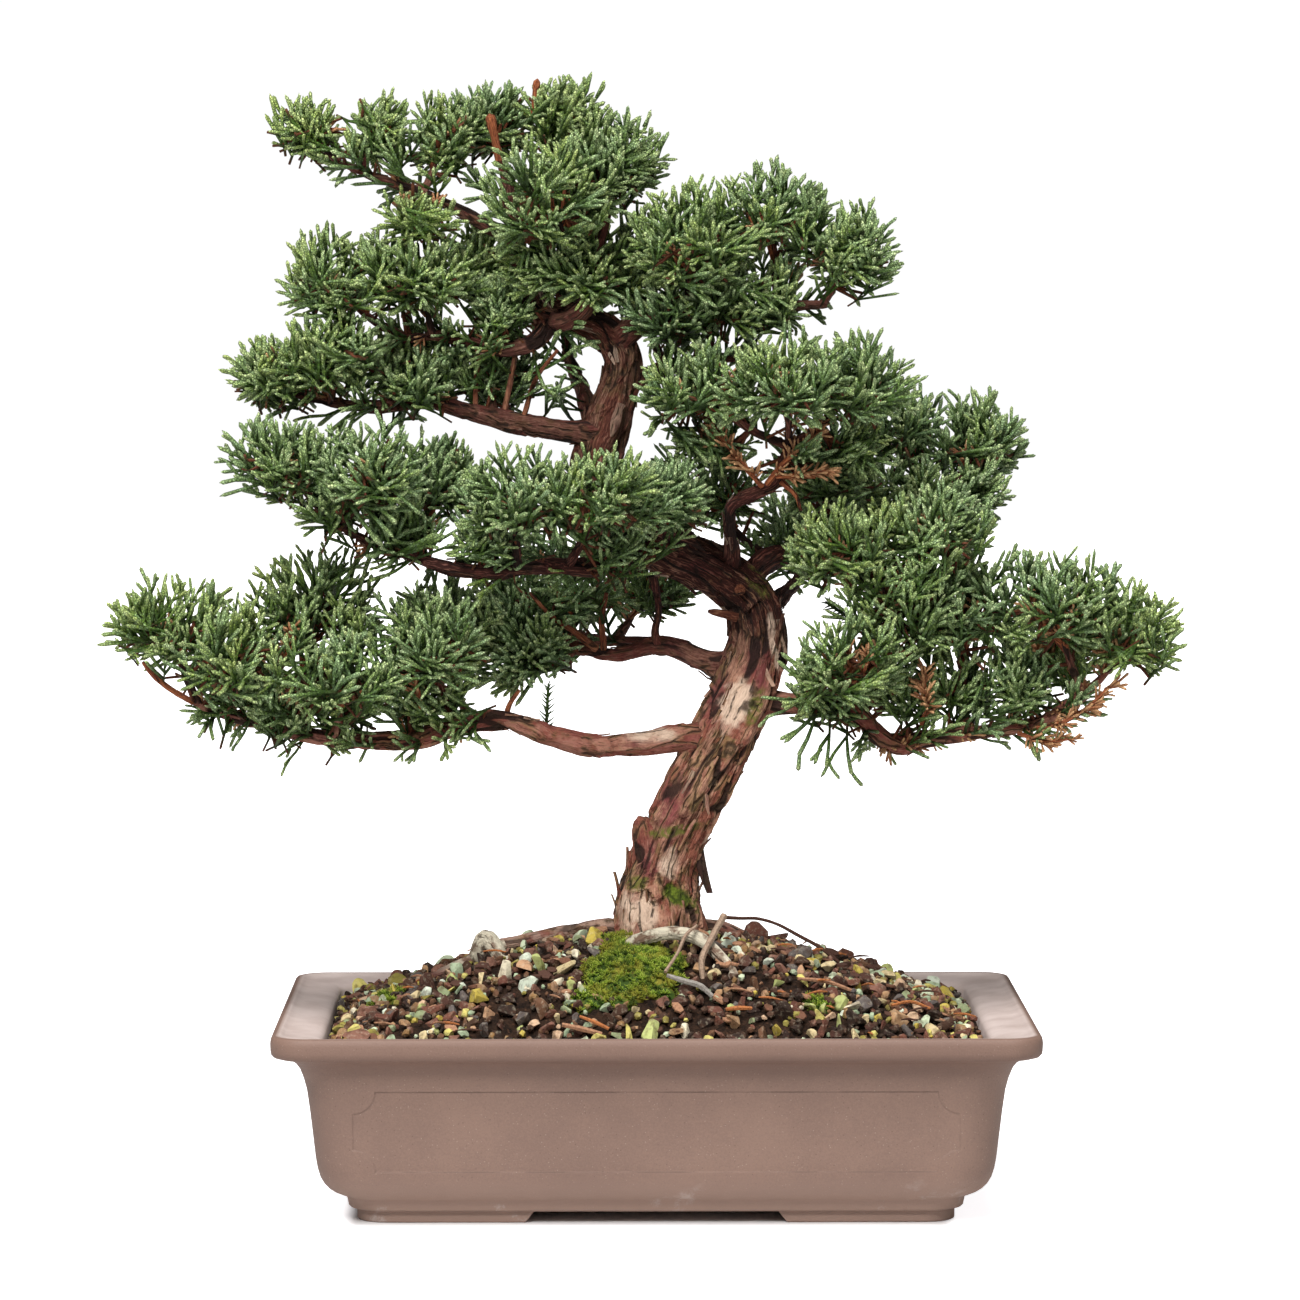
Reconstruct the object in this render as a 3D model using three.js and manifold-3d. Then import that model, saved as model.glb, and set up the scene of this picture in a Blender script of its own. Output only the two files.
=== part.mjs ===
// A Chinese juniper bonsai of the whip-leaved kind, standing in an unglazed stoneware pot.
// Millimetres, +Z up, X along the pot's long side and -Y towards the viewer. The tree and its pot are laid out
// round the pot's middle, and the whole is then moved so that the origin lies under the middle of its outline.
// Solids: the pot, two drainage screens, the soil, a moss cushion, the wood with its roots and twigs, and
// one leafy tuft at the end of each twig.

import * as THREE from "three";
import { mergeVertices } from "three/addons/utils/BufferGeometryUtils.js";
import Module from "manifold-3d";

const wasm = await Module();
wasm.setup();

// Driving dimensions of the pot
const POT_HEIGHT = 79;
const POT_HALF_WIDTH = 155;
const POT_HALF_DEPTH = 112.5;
const SIDE_DIFFERENCE = POT_HALF_WIDTH - POT_HALF_DEPTH;
const FOOT_HEIGHT = 4.9;
const UNDERSIDE = 4.7;
const POT_FLOOR = 11;
const PANEL_DEPTH = 0.6;
const DRAIN_RADIUS = 11;
const DRAIN_X = 66;
const CLEARANCE = 0.35;

// Driving dimensions of the soil and moss
const SOIL_EDGE = 73;
const MOUND_HEIGHT = 36.5;
const STONE_STEP = 16;
const STONE_HEIGHT = 2.3;
const MOSS = { x: -8, y: -47, halfWidth: 23, halfDepth: 25, height: 5.5, sunk: 3.5 };

// Driving dimensions of the leafy tufts
const WHIP_RADIUS = 1.3;
const CORE_SHARE = 0.48;
const CORE_DROP = 0.22;
const LARGE_TUFT = 26.5;
const TWIG_TIP_RADIUS = 1.25;
const SHORTEST_WHIP = 6;

const COLOURS = {
  stoneware: 0x8d7263,
  screen: 0x2b2b2b,
  soil: 0x5a4636,
  moss: 0x5f8a1e,
  bark: 0x7d4f3c,
  leaves: 0x3f6b4a,
};

// Repeatable random numbers from 0 to 1.
function seeded(seed) {
  let state = seed >>> 0;
  return () => {
    state = (state + 0x6d2b79f5) >>> 0;
    let t = Math.imul(state ^ (state >>> 15), 1 | state);
    t = (t + Math.imul(t ^ (t >>> 7), 61 | t)) ^ t;
    return ((t ^ (t >>> 14)) >>> 0) / 4294967296;
  };
}

const point = ([x, y, z]) => new THREE.Vector3(x, y, z);

// Solids and geometry

function geometryFrom(positions, triangles) {
  const geometry = new THREE.BufferGeometry();
  geometry.setAttribute("position", new THREE.Float32BufferAttribute(positions, 3));
  geometry.setIndex(triangles);
  return geometry;
}

function solidOf(geometry) {
  const loose = geometry.index ? geometry.toNonIndexed() : geometry.clone();
  const bare = new THREE.BufferGeometry().setAttribute("position", loose.getAttribute("position"));
  const merged = mergeVertices(bare, 1e-4);
  const triVerts = new Uint32Array(merged.index.array);
  return new wasm.Manifold(
    new wasm.Mesh({ numProp: 3, vertProperties: merged.attributes.position.array, triVerts }),
  );
}

function geometryOf(solid) {
  const mesh = solid.getMesh();
  return geometryFrom(Array.from(mesh.vertProperties), Array.from(mesh.triVerts));
}

// The largest of the bodies that a cut leaves.
function largest(solid) {
  const bodies = solid.decompose();
  bodies.sort((a, b) => b.volume() - a.volume());
  return bodies[0];
}

// A closed skin over rings of points, each ring running anticlockwise as seen from the last ring.
function loft(rings) {
  const count = rings[0].length;
  const positions = rings.flat().flatMap((p) => [p.x, p.y, p.z]);
  const triangles = [];
  for (let level = 0; level < rings.length - 1; level++) {
    for (let i = 0; i < count; i++) {
      const a = level * count + i;
      const b = level * count + ((i + 1) % count);
      triangles.push(a, b, b + count, a, b + count, a + count);
    }
  }
  const top = (rings.length - 1) * count;
  for (let i = 1; i < count - 1; i++) {
    triangles.push(0, i + 1, i);
    triangles.push(top, top + i, top + i + 1);
  }
  return geometryFrom(positions, triangles);
}

// Pot

const CORNER_STEPS = 3;

function roundedRectangle(halfWidth, halfDepth, radius, z) {
  const corners = [[1, 1, 0], [-1, 1, 1], [-1, -1, 2], [1, -1, 3]];
  const ring = [];
  for (const [sx, sy, quarter] of corners) {
    for (let i = 0; i <= CORNER_STEPS; i++) {
      const angle = ((quarter + i / CORNER_STEPS) * Math.PI) / 2;
      ring.push(
        new THREE.Vector3(
          sx * (halfWidth - radius) + radius * Math.cos(angle),
          sy * (halfDepth - radius) + radius * Math.sin(angle),
          z,
        ),
      );
    }
  }
  return ring;
}

// Height, half width and corner radius, from the foot up to the lip.
const POT_PROFILE = [
  [0, 120.6, 13],
  [FOOT_HEIGHT, 122.8, 14],
  [5.6, 124.8, 15],
  [9.6, 125.6, 15],
  [10.4, 127.4, 16],
  [14, 133, 17],
  [19.5, 136.4, 18],
  [37, 139, 18],
  [55, 141.2, 18],
  [64, 143.8, 17],
  [68.4, 147.6, 16],
  [70.6, 154, 14],
  [76.4, POT_HALF_WIDTH, 14],
  [POT_HEIGHT, 153, 12],
];

// The hollow, from the floor up the wall, over the rounded inner edge and across the flat rim to its raised bead.
const HOLLOW_PROFILE = [
  [POT_FLOOR, 121, 12],
  [19, 128, 13],
  [58, 133.2, 13],
  [74.4, 134.6, 12],
  [76.6, 137.4, 12],
  [77.8, 148.4, 13],
  [80, 150.4, 13],
];

function potRings(profile, inset) {
  return profile.map(([z, halfWidth, radius]) =>
    roundedRectangle(halfWidth - inset, halfWidth - inset - SIDE_DIFFERENCE, radius, z),
  );
}

// The sunk panel's outline: a rectangle whose corners are cut away in quarter rounds.
function panelShape(halfLength, low, high, notch) {
  const shape = new THREE.Shape();
  const quarter = Math.PI / 2;
  shape.absarc(-halfLength, low, notch, quarter, 0, true);
  shape.absarc(halfLength, low, notch, 2 * quarter, quarter, true);
  shape.absarc(halfLength, high, notch, -quarter, -2 * quarter, true);
  shape.absarc(-halfLength, high, notch, 0, -quarter, true);
  return shape;
}

function panelPrism(halfLength, turn) {
  const reach = 2 * POT_HALF_WIDTH + 20;
  const shape = panelShape(halfLength, 23, 56, 9);
  const prism = new THREE.ExtrudeGeometry(shape, { depth: reach, bevelEnabled: false, curveSegments: 3 });
  prism.translate(0, 0, -reach / 2);
  prism.rotateX(Math.PI / 2);
  prism.rotateZ(turn);
  return solidOf(prism);
}

function rectangle(halfWidth, halfDepth, z) {
  const corners = [[1, 1], [-1, 1], [-1, -1], [1, -1]];
  return corners.map(([sx, sy]) => new THREE.Vector3(sx * halfWidth, sy * halfDepth, z));
}

function makePot() {
  const outer = solidOf(loft(potRings(POT_PROFILE, 0)));
  const hollow = solidOf(loft(potRings(HOLLOW_PROFILE, 0)));
  let pot = outer.subtract(hollow);

  const wall = POT_PROFILE.slice(5, 10);
  const skin = solidOf(loft(potRings(wall, -4))).subtract(solidOf(loft(potRings(wall, PANEL_DEPTH))));
  pot = pot.subtract(skin.intersect(panelPrism(122, 0)));
  pot = pot.subtract(skin.intersect(panelPrism(122 - SIDE_DIFFERENCE, Math.PI / 2)));

  const under = [
    loft([rectangle(103, 60.5, -1), rectangle(103, 60.5, UNDERSIDE)]),
    loft([rectangle(53.5, 130, -1), rectangle(49, 130, UNDERSIDE)]),
    loft([rectangle(160, 30.5, -1), rectangle(160, 26, UNDERSIDE)]),
  ];
  for (const channel of under) pot = pot.subtract(solidOf(channel));

  for (const side of [-1, 1]) {
    const drain = new THREE.CylinderGeometry(DRAIN_RADIUS, DRAIN_RADIUS, 20, 14);
    drain.rotateX(Math.PI / 2);
    drain.translate(side * DRAIN_X, 0, 8);
    pot = pot.subtract(solidOf(drain));
  }
  return pot;
}

// Drainage screens

const SCREEN = { halfSide: 16, thickness: 1.2, holes: 3, hole: 6, pitch: 9.4 };

function makeScreen(side) {
  const { halfSide, thickness, holes, hole, pitch } = SCREEN;
  let screen = solidOf(new THREE.BoxGeometry(2 * halfSide, 2 * halfSide, thickness));
  for (let column = 0; column < holes; column++) {
    for (let row = 0; row < holes; row++) {
      const opening = new THREE.BoxGeometry(hole, hole, 3 * thickness);
      opening.translate((column - (holes - 1) / 2) * pitch, (row - (holes - 1) / 2) * pitch, 0);
      screen = screen.subtract(solidOf(opening));
    }
  }
  return screen.translate([side * DRAIN_X, 0, POT_FLOOR + CLEARANCE + thickness / 2]);
}

// Soil and moss

function moundHeight(x, y) {
  const u = Math.min(1, Math.abs(x) / 134);
  const v = Math.min(1, Math.abs(y) / 91);
  return SOIL_EDGE + MOUND_HEIGHT * (1 - u ** 2) * (1 - v ** 2);
}

// A surface of coarse stones: a jittered grid whose every third point stands up as a stone's crown.
function stonySlab() {
  const random = seeded(11);
  const columns = Math.ceil(280 / STONE_STEP);
  const rows = Math.ceil(196 / STONE_STEP);
  const positions = [];
  for (let row = 0; row <= rows; row++) {
    for (let column = 0; column <= columns; column++) {
      const x = (column - columns / 2 + (random() - 0.5) * 0.55 + (row % 2) * 0.4) * STONE_STEP;
      const y = (row - rows / 2 + (random() - 0.5) * 0.55) * STONE_STEP;
      const crown = (column + row * 2) % 3 === 0 ? 1 : -0.35;
      positions.push(x, y, moundHeight(x, y) + crown * STONE_HEIGHT * (0.5 + random()) - 0.6);
    }
  }
  const layer = positions.length / 3;
  for (let i = 0; i < layer; i++) {
    positions.push(positions[3 * i], positions[3 * i + 1], 0);
  }
  const triangles = [];
  const at = (column, row) => row * (columns + 1) + column;
  for (let row = 0; row < rows; row++) {
    for (let column = 0; column < columns; column++) {
      const [a, b] = [at(column, row), at(column + 1, row)];
      const [c, d] = [at(column + 1, row + 1), at(column, row + 1)];
      triangles.push(a, b, c, a, c, d);
      triangles.push(a + layer, c + layer, b + layer, a + layer, d + layer, c + layer);
    }
  }
  const edge = [];
  for (let column = 0; column < columns; column++) edge.push([at(column, 0), at(column + 1, 0)]);
  for (let row = 0; row < rows; row++) edge.push([at(columns, row), at(columns, row + 1)]);
  for (let column = columns; column > 0; column--) edge.push([at(column, rows), at(column - 1, rows)]);
  for (let row = rows; row > 0; row--) edge.push([at(0, row), at(0, row - 1)]);
  for (const [a, b] of edge) triangles.push(a, b + layer, b, a, a + layer, b + layer);
  return solidOf(geometryFrom(positions, triangles));
}

function makeSoil() {
  const body = solidOf(
    loft([
      ...potRings(HOLLOW_PROFILE.slice(0, 4), CLEARANCE).map((ring, level) =>
        ring.map((p) => p.clone().setZ(p.z + (level === 0 ? CLEARANCE : 0))),
      ),
      roundedRectangle(134.2, 91.7, 12, 130),
    ]),
  );
  let soil = body.intersect(stonySlab());
  for (const side of [-1, 1]) {
    const half = SCREEN.halfSide + CLEARANCE;
    const pocket = loft([rectangle(half, half, POT_FLOOR - 2), rectangle(half, half, POT_FLOOR + 2.2)]);
    pocket.translate(side * DRAIN_X, 0, 0);
    soil = soil.subtract(solidOf(pocket));
  }
  return soil;
}

// A low cushion on the mound's front slope. Grown by some clearance, it is the hollow that the soil keeps for it.
function mossCushion(grown) {
  const random = seeded(5);
  const around = 16;
  const lobe = (angle) => 0.92 + 0.08 * Math.cos(3 * angle + 1) + 0.03 * Math.cos(5 * angle);
  const ringAt = (share, rise, roughness) => {
    const ring = [];
    for (let i = 0; i < around; i++) {
      const angle = (i / around) * 2 * Math.PI;
      const x = MOSS.x + Math.cos(angle) * lobe(angle) * (share * MOSS.halfWidth + grown);
      const y = MOSS.y + Math.sin(angle) * lobe(angle) * (share * MOSS.halfDepth + grown);
      ring.push(new THREE.Vector3(x, y, moundHeight(x, y) + rise + roughness * random()));
    }
    return ring;
  };
  const bed = [ringAt(0.75, -MOSS.sunk - grown, 0), ringAt(1, -0.4 - grown, 0)];
  if (grown) return solidOf(loft([...bed, ringAt(1, 14, 0)]));
  return solidOf(loft([...bed, ringAt(0.7, 0.6 * MOSS.height, 1.6), ringAt(0.34, MOSS.height, 1.6)]));
}

// Wood: routes of hand-placed points with the radius at each, from root to tip

const TRUNK = [
  [0, 0, 72.8, 17], [1, 0, 98.6, 19.5], [1, 0, 112.4, 18.6], [1, 0, 124, 17.2], [3, -1, 136, 15], [7, -2, 148, 14],
  [12, -3, 159, 13.4], [18, -4, 171, 13.6], [25, -3, 184, 13.8], [32, -1, 197, 13.4], [38, 1, 210, 13.2],
  [42, 4, 223, 12.8], [43, 6, 235, 12.2], [39, 7, 247, 11.6], [30, 5, 256, 11], [18, 2, 263, 10.6],
  [3, -1, 269, 10.2], [-11, -3, 275, 10], [-21, -3, 284, 10], [-25, -1, 297, 10], [-24, 1, 311, 9.8],
  [-19, 3, 324, 9.4], [-15, 4, 337, 8.8], [-14, 4, 350, 8.2], [-21, 3, 360, 7.6], [-33, 1, 365, 6.8],
  [-45, 1, 368, 6], [-52, 2, 378, 5.2], [-57, 2, 392, 4.2], [-59, 1, 406, 3.2], [-61, 0, 420, 2.2],
];

const BRANCHES = {
  lower_left: [
    [23, -3, 191, 6.4], [9, -9, 191, 5.6], [-7, -14, 189, 5], [-24, -18, 189, 4.6], [-43, -21, 193, 4.4],
    [-62, -23, 200, 4.4], [-80, -24, 198, 4.2], [-98, -26, 192, 4], [-120, -27, 191, 3.4], [-141, -26, 194, 3],
    [-161, -24, 198, 2.4], [-181, -23, 203, 1.8], [-190, -23, 207, 1.4],
  ],
  left_middle: [
    [37, 6, 222, 5.6], [23, 9, 222, 4.6], [9, 13, 227, 4.2], [-1, 16, 228, 3.8], [-15, 20, 224, 3.2],
    [-28, 25, 225, 2.6], [-42, 29, 230, 2],
  ],
  lower_right: [
    [39, 2, 206, 6], [55, -2, 205, 4.8], [69, -7, 206, 4.2], [83, -12, 202, 3.9], [92, -15, 193, 3.9],
    [101, -15, 188, 4], [112, -14, 191, 3.6], [130, -12, 193, 3.2], [149, -11, 195, 2.8], [166, -11, 201, 2.3],
    [179, -11, 210, 1.7],
  ],
  right_middle: [
    [37, 7, 253, 6], [48, 14, 263, 5.2], [59, 20, 266, 4.6], [75, 27, 269, 4], [91, 33, 276, 3.3],
    [107, 38, 284, 2.6], [122, 41, 291, 2],
  ],
  right_riser: [
    [81, -10, 202, 3.4], [87, -12, 215, 2.9], [89, -14, 228, 2.6], [92, -17, 242, 2.3], [97, -20, 253, 1.9],
  ],
  hooked_twig: [
    [32, 2, 261, 4.2], [32, -6, 271, 3.4], [31, -10, 280, 3.1], [32, -13, 288, 3], [41, -16, 293, 2.8],
    [50, -18, 297, 2.4], [52, -20, 306, 2], [56, -21, 314, 1.6],
  ],
  front_left: [
    [3, -3, 268, 5.4], [-11, -13, 265, 4.4], [-28, -24, 263, 3.9], [-47, -32, 264, 3.5], [-64, -36, 262, 3.2],
    [-82, -37, 263, 2.8], [-100, -37, 268, 2.4], [-116, -36, 273, 2], [-130, -35, 281, 1.5],
  ],
  left_upper: [
    [-23, 0, 317, 5.8], [-36, -3, 318, 5], [-52, -6, 321, 4.4], [-66, -8, 324, 3.9], [-80, -10, 328, 3.5],
    [-95, -12, 331, 3], [-112, -13, 329, 2.5], [-130, -14, 330, 2], [-144, -14, 332, 1.5],
  ],
  left_crown: [
    [-43, 1, 365, 4.6], [-50, -3, 356, 3.8], [-62, -7, 352, 3.2], [-76, -9, 355, 2.8], [-90, -10, 358, 2.3],
    [-104, -11, 356, 1.8],
  ],
  right_crown: [
    [-16, 2, 354, 6], [-5, -2, 362, 4.8], [10, -5, 366, 4.2], [26, -7, 367, 3.6], [42, -8, 368, 3.2],
    [57, -9, 370, 2.6], [71, -10, 371, 2],
  ],
  curl: [
    [-40, 1, 366, 5], [-38, -8, 364, 4.6], [-29, -11, 370, 4.1], [-25, -9, 381, 3.4], [-24, -4, 392, 2.6],
  ],
  top_left_arm: [
    [-58, 2, 400, 3.4], [-68, -1, 408, 2.9], [-84, -4, 415, 2.5], [-102, -7, 422, 2.1], [-118, -9, 424, 1.8],
    [-132, -11, 429, 1.4],
  ],
  right_back: [
    [-16, 4, 338, 5], [-4, 12, 340, 3.8], [11, 21, 345, 3.1], [27, 28, 348, 2.5], [41, 33, 348, 1.9],
  ],
  back_left: [
    [34, 4, 212, 6], [20, 20, 221, 4.6], [3, 38, 226, 3.8], [-17, 53, 227, 3], [-36, 65, 229, 2.2],
  ],
  back_right: [
    [43, 8, 234, 5.6], [49, 26, 242, 4.2], [55, 44, 248, 3.4], [61, 60, 252, 2.6],
  ],
  back_top: [
    [-22, 2, 310, 5], [-27, 22, 325, 3.8], [-32, 40, 339, 3], [-37, 56, 350, 2.2],
  ],
};

const ROOTS = {
  left_root: [
    [-1, 2, 102, 9], [-18, 3, 110, 5], [-36, 2, 109, 3.2], [-56, -2, 105.5, 3], [-67, -6, 102.5, 3.4],
    [-66, -14, 98.5, 2.6], [-58, -22, 97, 1.8],
  ],
  far_left_root: [
    [-62, -5, 104, 2.8], [-76, -8, 98.5, 2.6], [-90, -9, 92.5, 2.2], [-102, -9, 87, 1.6],
  ],
  arched_root: [
    [2, -6, 99, 6], [-9, -18, 105, 2.6], [-10, -27, 108, 2.3], [-2, -31, 110.5, 2.4], [9, -32, 112, 2.5],
    [18, -33, 110, 2.5], [25, -38, 105, 2.4], [31, -45, 98, 2.1], [34, -51, 91.5, 1.6],
  ],
  right_root: [[4, 2, 102, 9], [22, 8, 109.5, 4.6], [38, 14, 105.5, 3], [54, 18, 99.5, 2]],
  back_root: [[2, 4, 102, 8], [-6, 22, 108, 4.4], [-14, 38, 102, 2.8], [-22, 50, 94.5, 1.8]],
};

const STUMP = [[4, -5, 140, 7], [-3, -7, 147, 6.2], [-5, -8, 155, 5.2], [-4, -8, 158, 3.4]];

// A tapering tube through a route, with flutes that wind along it where a ripple is given.
function taperedTube(route, sides, steps, grown = 0, ripple = 0) {
  const curve = new THREE.CatmullRomCurve3(route.map(point), false, "centripetal");
  const frames = curve.computeFrenetFrames(steps, false);
  const rings = [];
  for (let step = 0; step <= steps; step++) {
    const t = step / steps;
    const length = t * curve.getLength();
    const centre = curve.getPointAt(t);
    const [normal, binormal] = [frames.normals[step], frames.binormals[step]];
    const radius = radiusAt(route, curve.getUtoTmapping(t)) + grown;
    const ring = [];
    for (let i = 0; i < sides; i++) {
      const angle = (i / sides) * 2 * Math.PI;
      const flute = 1 + ripple * (Math.cos(3 * angle + length / 23) + 0.6 * Math.cos(5 * angle - length / 14));
      ring.push(
        centre
          .clone()
          .addScaledVector(normal, Math.cos(angle) * radius * flute)
          .addScaledVector(binormal, Math.sin(angle) * radius * flute),
      );
    }
    rings.push(ring);
  }
  return solidOf(loft(rings));
}

function radiusAt(route, t) {
  const place = Math.min(t * (route.length - 1), route.length - 1.000001);
  const low = Math.floor(place);
  return THREE.MathUtils.lerp(route[low][3], route[low + 1][3], place - low);
}

// The short straight stretches that a route is made of, for keeping leaves clear of it.
function stretches(route, steps) {
  const curve = new THREE.CatmullRomCurve3(route.map(point), false, "centripetal");
  const found = [];
  for (let i = 0; i < steps; i++) {
    const radius = radiusAt(route, curve.getUtoTmapping(i / steps));
    found.push({ a: curve.getPointAt(i / steps), b: curve.getPointAt((i + 1) / steps), radius });
  }
  return found;
}

// Tufts: middle, half sizes and the branch that carries each

const TUFTS = {
  arm_tip: [[-143, -14, 443], [15, 15, 14], "top_left_arm"],
  arm_middle: [[-114, -12, 441], [15, 16, 16], "top_left_arm"],
  arm_inner: [[-88, -4, 437], [16, 17, 19], "top_left_arm"],
  arm_under: [[-97, -22, 408], [20, 17, 13], "top_left_arm"],
  apex_left: [[-67, 8, 444], [18, 18, 19], "trunk"],
  apex_top: [[-38, 6, 448], [18, 18, 18], "curl"],
  apex_front: [[-46, -30, 414], [25, 22, 30], "curl"],
  apex_right: [[-15, -2, 425], [21, 20, 23], "curl"],
  apex_back: [[-42, 40, 412], [26, 22, 25], "trunk"],
  crown_left_end: [[-131, -16, 380], [21, 21, 19], "left_crown"],
  crown_left_middle: [[-96, -20, 383], [22, 21, 20], "left_crown"],
  crown_left_inner: [[-70, 14, 385], [17, 18, 20], "left_crown"],
  crown_right_inner: [[13, -26, 395], [24, 22, 26], "right_crown"],
  crown_right_middle: [[47, -12, 406], [25, 24, 25], "right_crown"],
  crown_right_end: [[79, -18, 392], [23, 22, 21], "right_crown"],
  crown_right_back: [[19, 30, 388], [25, 22, 22], "right_back"],
  crown_left_behind: [[-12, 30, 391], [19, 20, 18], "right_back"],
  upper_left_end: [[-159, -14, 342], [15, 15, 13], "left_upper"],
  upper_left_outer: [[-131, -24, 350], [19, 19, 17], "left_upper"],
  upper_left_middle: [[-102, 8, 348], [19, 19, 16], "left_upper"],
  upper_left_inner: [[-68, 12, 342], [17, 18, 15], "left_upper"],
  shelf_left_end: [[-151, -38, 305], [22, 20, 20], "front_left"],
  shelf_left_middle: [[-117, -50, 302], [23, 21, 21], "front_left"],
  shelf_left_inner: [[-88, -18, 297], [20, 20, 21], "front_left"],
  shelf_centre_left: [[-58, -62, 290], [25, 22, 23], "front_left"],
  shelf_centre: [[-23, -58, 293], [25, 22, 21], "front_left"],
  shelf_centre_right: [[5, -38, 290], [18, 18, 18], "front_left"],
  middle_right_inner: [[19, -30, 335], [25, 22, 19], "hooked_twig"],
  middle_right: [[53, -44, 338], [23, 21, 21], "hooked_twig"],
  middle_right_outer: [[82, -20, 337], [24, 22, 20], "hooked_twig"],
  behind_trunk: [[21, 46, 293], [26, 23, 24], "right_middle"],
  behind_right: [[71, 4, 299], [24, 20, 23], "right_middle"],
  far_right_inner: [[104, 48, 315], [24, 22, 20], "right_middle"],
  far_right_end: [[136, 50, 310], [21, 22, 20], "right_middle"],
  riser_inner: [[77, -32, 268], [24, 21, 21], "right_riser"],
  riser_outer: [[113, -26, 278], [25, 22, 20], "right_riser"],
  riser_under: [[107, -30, 245], [20, 19, 18], "right_riser"],
  low_right_inner: [[79, -44, 222], [26, 22, 24], "lower_right"],
  low_right_middle: [[125, -16, 243], [25, 23, 26], "lower_right"],
  low_right_outer: [[164, -24, 245], [25, 23, 24], "lower_right"],
  low_right_end: [[196, -10, 234], [23, 21, 22], "lower_right"],
  low_right_back: [[166, 26, 227], [24, 21, 20], "lower_right"],
  low_left_end: [[-201, -22, 238], [25, 22, 21], "lower_left"],
  low_left_outer: [[-171, -42, 227], [24, 21, 23], "lower_left"],
  low_left_middle: [[-139, -10, 245], [25, 23, 25], "lower_left"],
  low_left_front: [[-128, -50, 217], [25, 20, 19], "lower_left"],
  low_left_inner: [[-92, -42, 231], [24, 22, 27], "lower_left"],
  low_left_back: [[-88, 10, 231], [24, 23, 24], "lower_left"],
  low_centre: [[-36, 34, 249], [27, 22, 18], "left_middle"],
  back_left_end: [[-52, 82, 238], [26, 24, 22], "back_left"],
  back_left_inner: [[-5, 76, 250], [25, 24, 20], "back_left"],
  back_right_end: [[65, 84, 269], [26, 24, 22], "back_right"],
  back_upper: [[-40, 74, 374], [26, 24, 22], "back_top"],
};

const ROUTES = { trunk: TRUNK.slice(22), ...BRANCHES };

// The point of a branch from which a twig best reaches a tuft: near it, and a little towards the branch's root.
function attachment(name, target) {
  const curve = new THREE.CatmullRomCurve3(ROUTES[name].map(point), false, "centripetal");
  let best = null;
  for (let i = 2; i <= 40; i++) {
    const t = i / 41;
    const at = curve.getPointAt(t);
    const cost = at.distanceTo(target) + 7 * t;
    if (!best || cost < best.cost) best = { cost, at, t, heading: curve.getTangentAt(t) };
  }
  return best;
}

// A tuft before its whips are grown: a small faceted core with one bare face turned to its twig.
function planTuft(name, index) {
  const [middle, halves, branch] = TUFTS[name];
  const centre = point(middle);
  const size = point(halves);
  const root = attachment(branch, centre);
  const growth = centre.clone().sub(root.at).normalize().add(new THREE.Vector3(0, 0, 0.45)).normalize();
  const large = Math.max(...halves) > LARGE_TUFT;
  const ball = large ? new THREE.OctahedronGeometry(1, 1) : new THREE.IcosahedronGeometry(1, 0);
  const faceCentre = new THREE.Vector3();
  const flat = ball.getAttribute("position");
  let seat = 0;
  let straightest = 0;
  for (let face = 0; face < flat.count / 3; face++) {
    faceCentre.set(0, 0, 0);
    for (let i = 0; i < 3; i++) faceCentre.add(new THREE.Vector3().fromBufferAttribute(flat, 3 * face + i));
    if (faceCentre.length() > straightest + 1e-6) {
      straightest = faceCentre.length();
      seat = face;
    }
  }
  faceCentre.set(0, 0, 0);
  for (let i = 0; i < 3; i++) faceCentre.add(new THREE.Vector3().fromBufferAttribute(flat, 3 * seat + i));
  const toTwig = growth.clone().negate().divide(size).normalize();
  const turn = new THREE.Quaternion().setFromUnitVectors(faceCentre.normalize(), toTwig);
  const spin = new THREE.Quaternion().setFromAxisAngle(toTwig, index * 1.7);
  ball.applyQuaternion(spin.multiply(turn));

  const core = centre.clone().addScaledVector(growth, -CORE_DROP * Math.min(...halves));
  const corners = [];
  for (let i = 0; i < flat.count; i++) {
    corners.push(new THREE.Vector3().fromBufferAttribute(flat, i).multiply(size).multiplyScalar(CORE_SHARE).add(core));
  }
  return { name, centre, size, core, growth, root, corners, seat, whips: [] };
}

function faceOf(tuft, face) {
  const [a, b, c] = tuft.corners.slice(3 * face, 3 * face + 3);
  const middle = a.clone().add(b).add(c).divideScalar(3);
  const normal = b.clone().sub(a).cross(c.clone().sub(a)).normalize();
  return { a, b, c, middle, normal };
}

// The twig from the branch to the bare face of a tuft, ending just clear of that face and square to it.
function twigRoute(tuft) {
  const { middle, normal } = faceOf(tuft, tuft.seat);
  const start = tuft.root.at;
  const end = middle.clone().addScaledVector(normal, CLEARANCE + 0.1);
  const reach = start.distanceTo(end);
  const straight = end.clone().addScaledVector(normal, Math.min(5, reach * 0.3));
  const rootRadius = Math.min(2.6, TWIG_TIP_RADIUS + reach * 0.03);
  const stations = [start];
  if (reach > 16) stations.push(start.clone().lerp(straight, 0.5).add(new THREE.Vector3(0, 0, -reach * 0.05)));
  stations.push(straight, end);
  return stations.map((p, i) => {
    const share = i / (stations.length - 1);
    return [p.x, p.y, p.z, THREE.MathUtils.lerp(rootRadius, TWIG_TIP_RADIUS, share)];
  });
}

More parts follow.
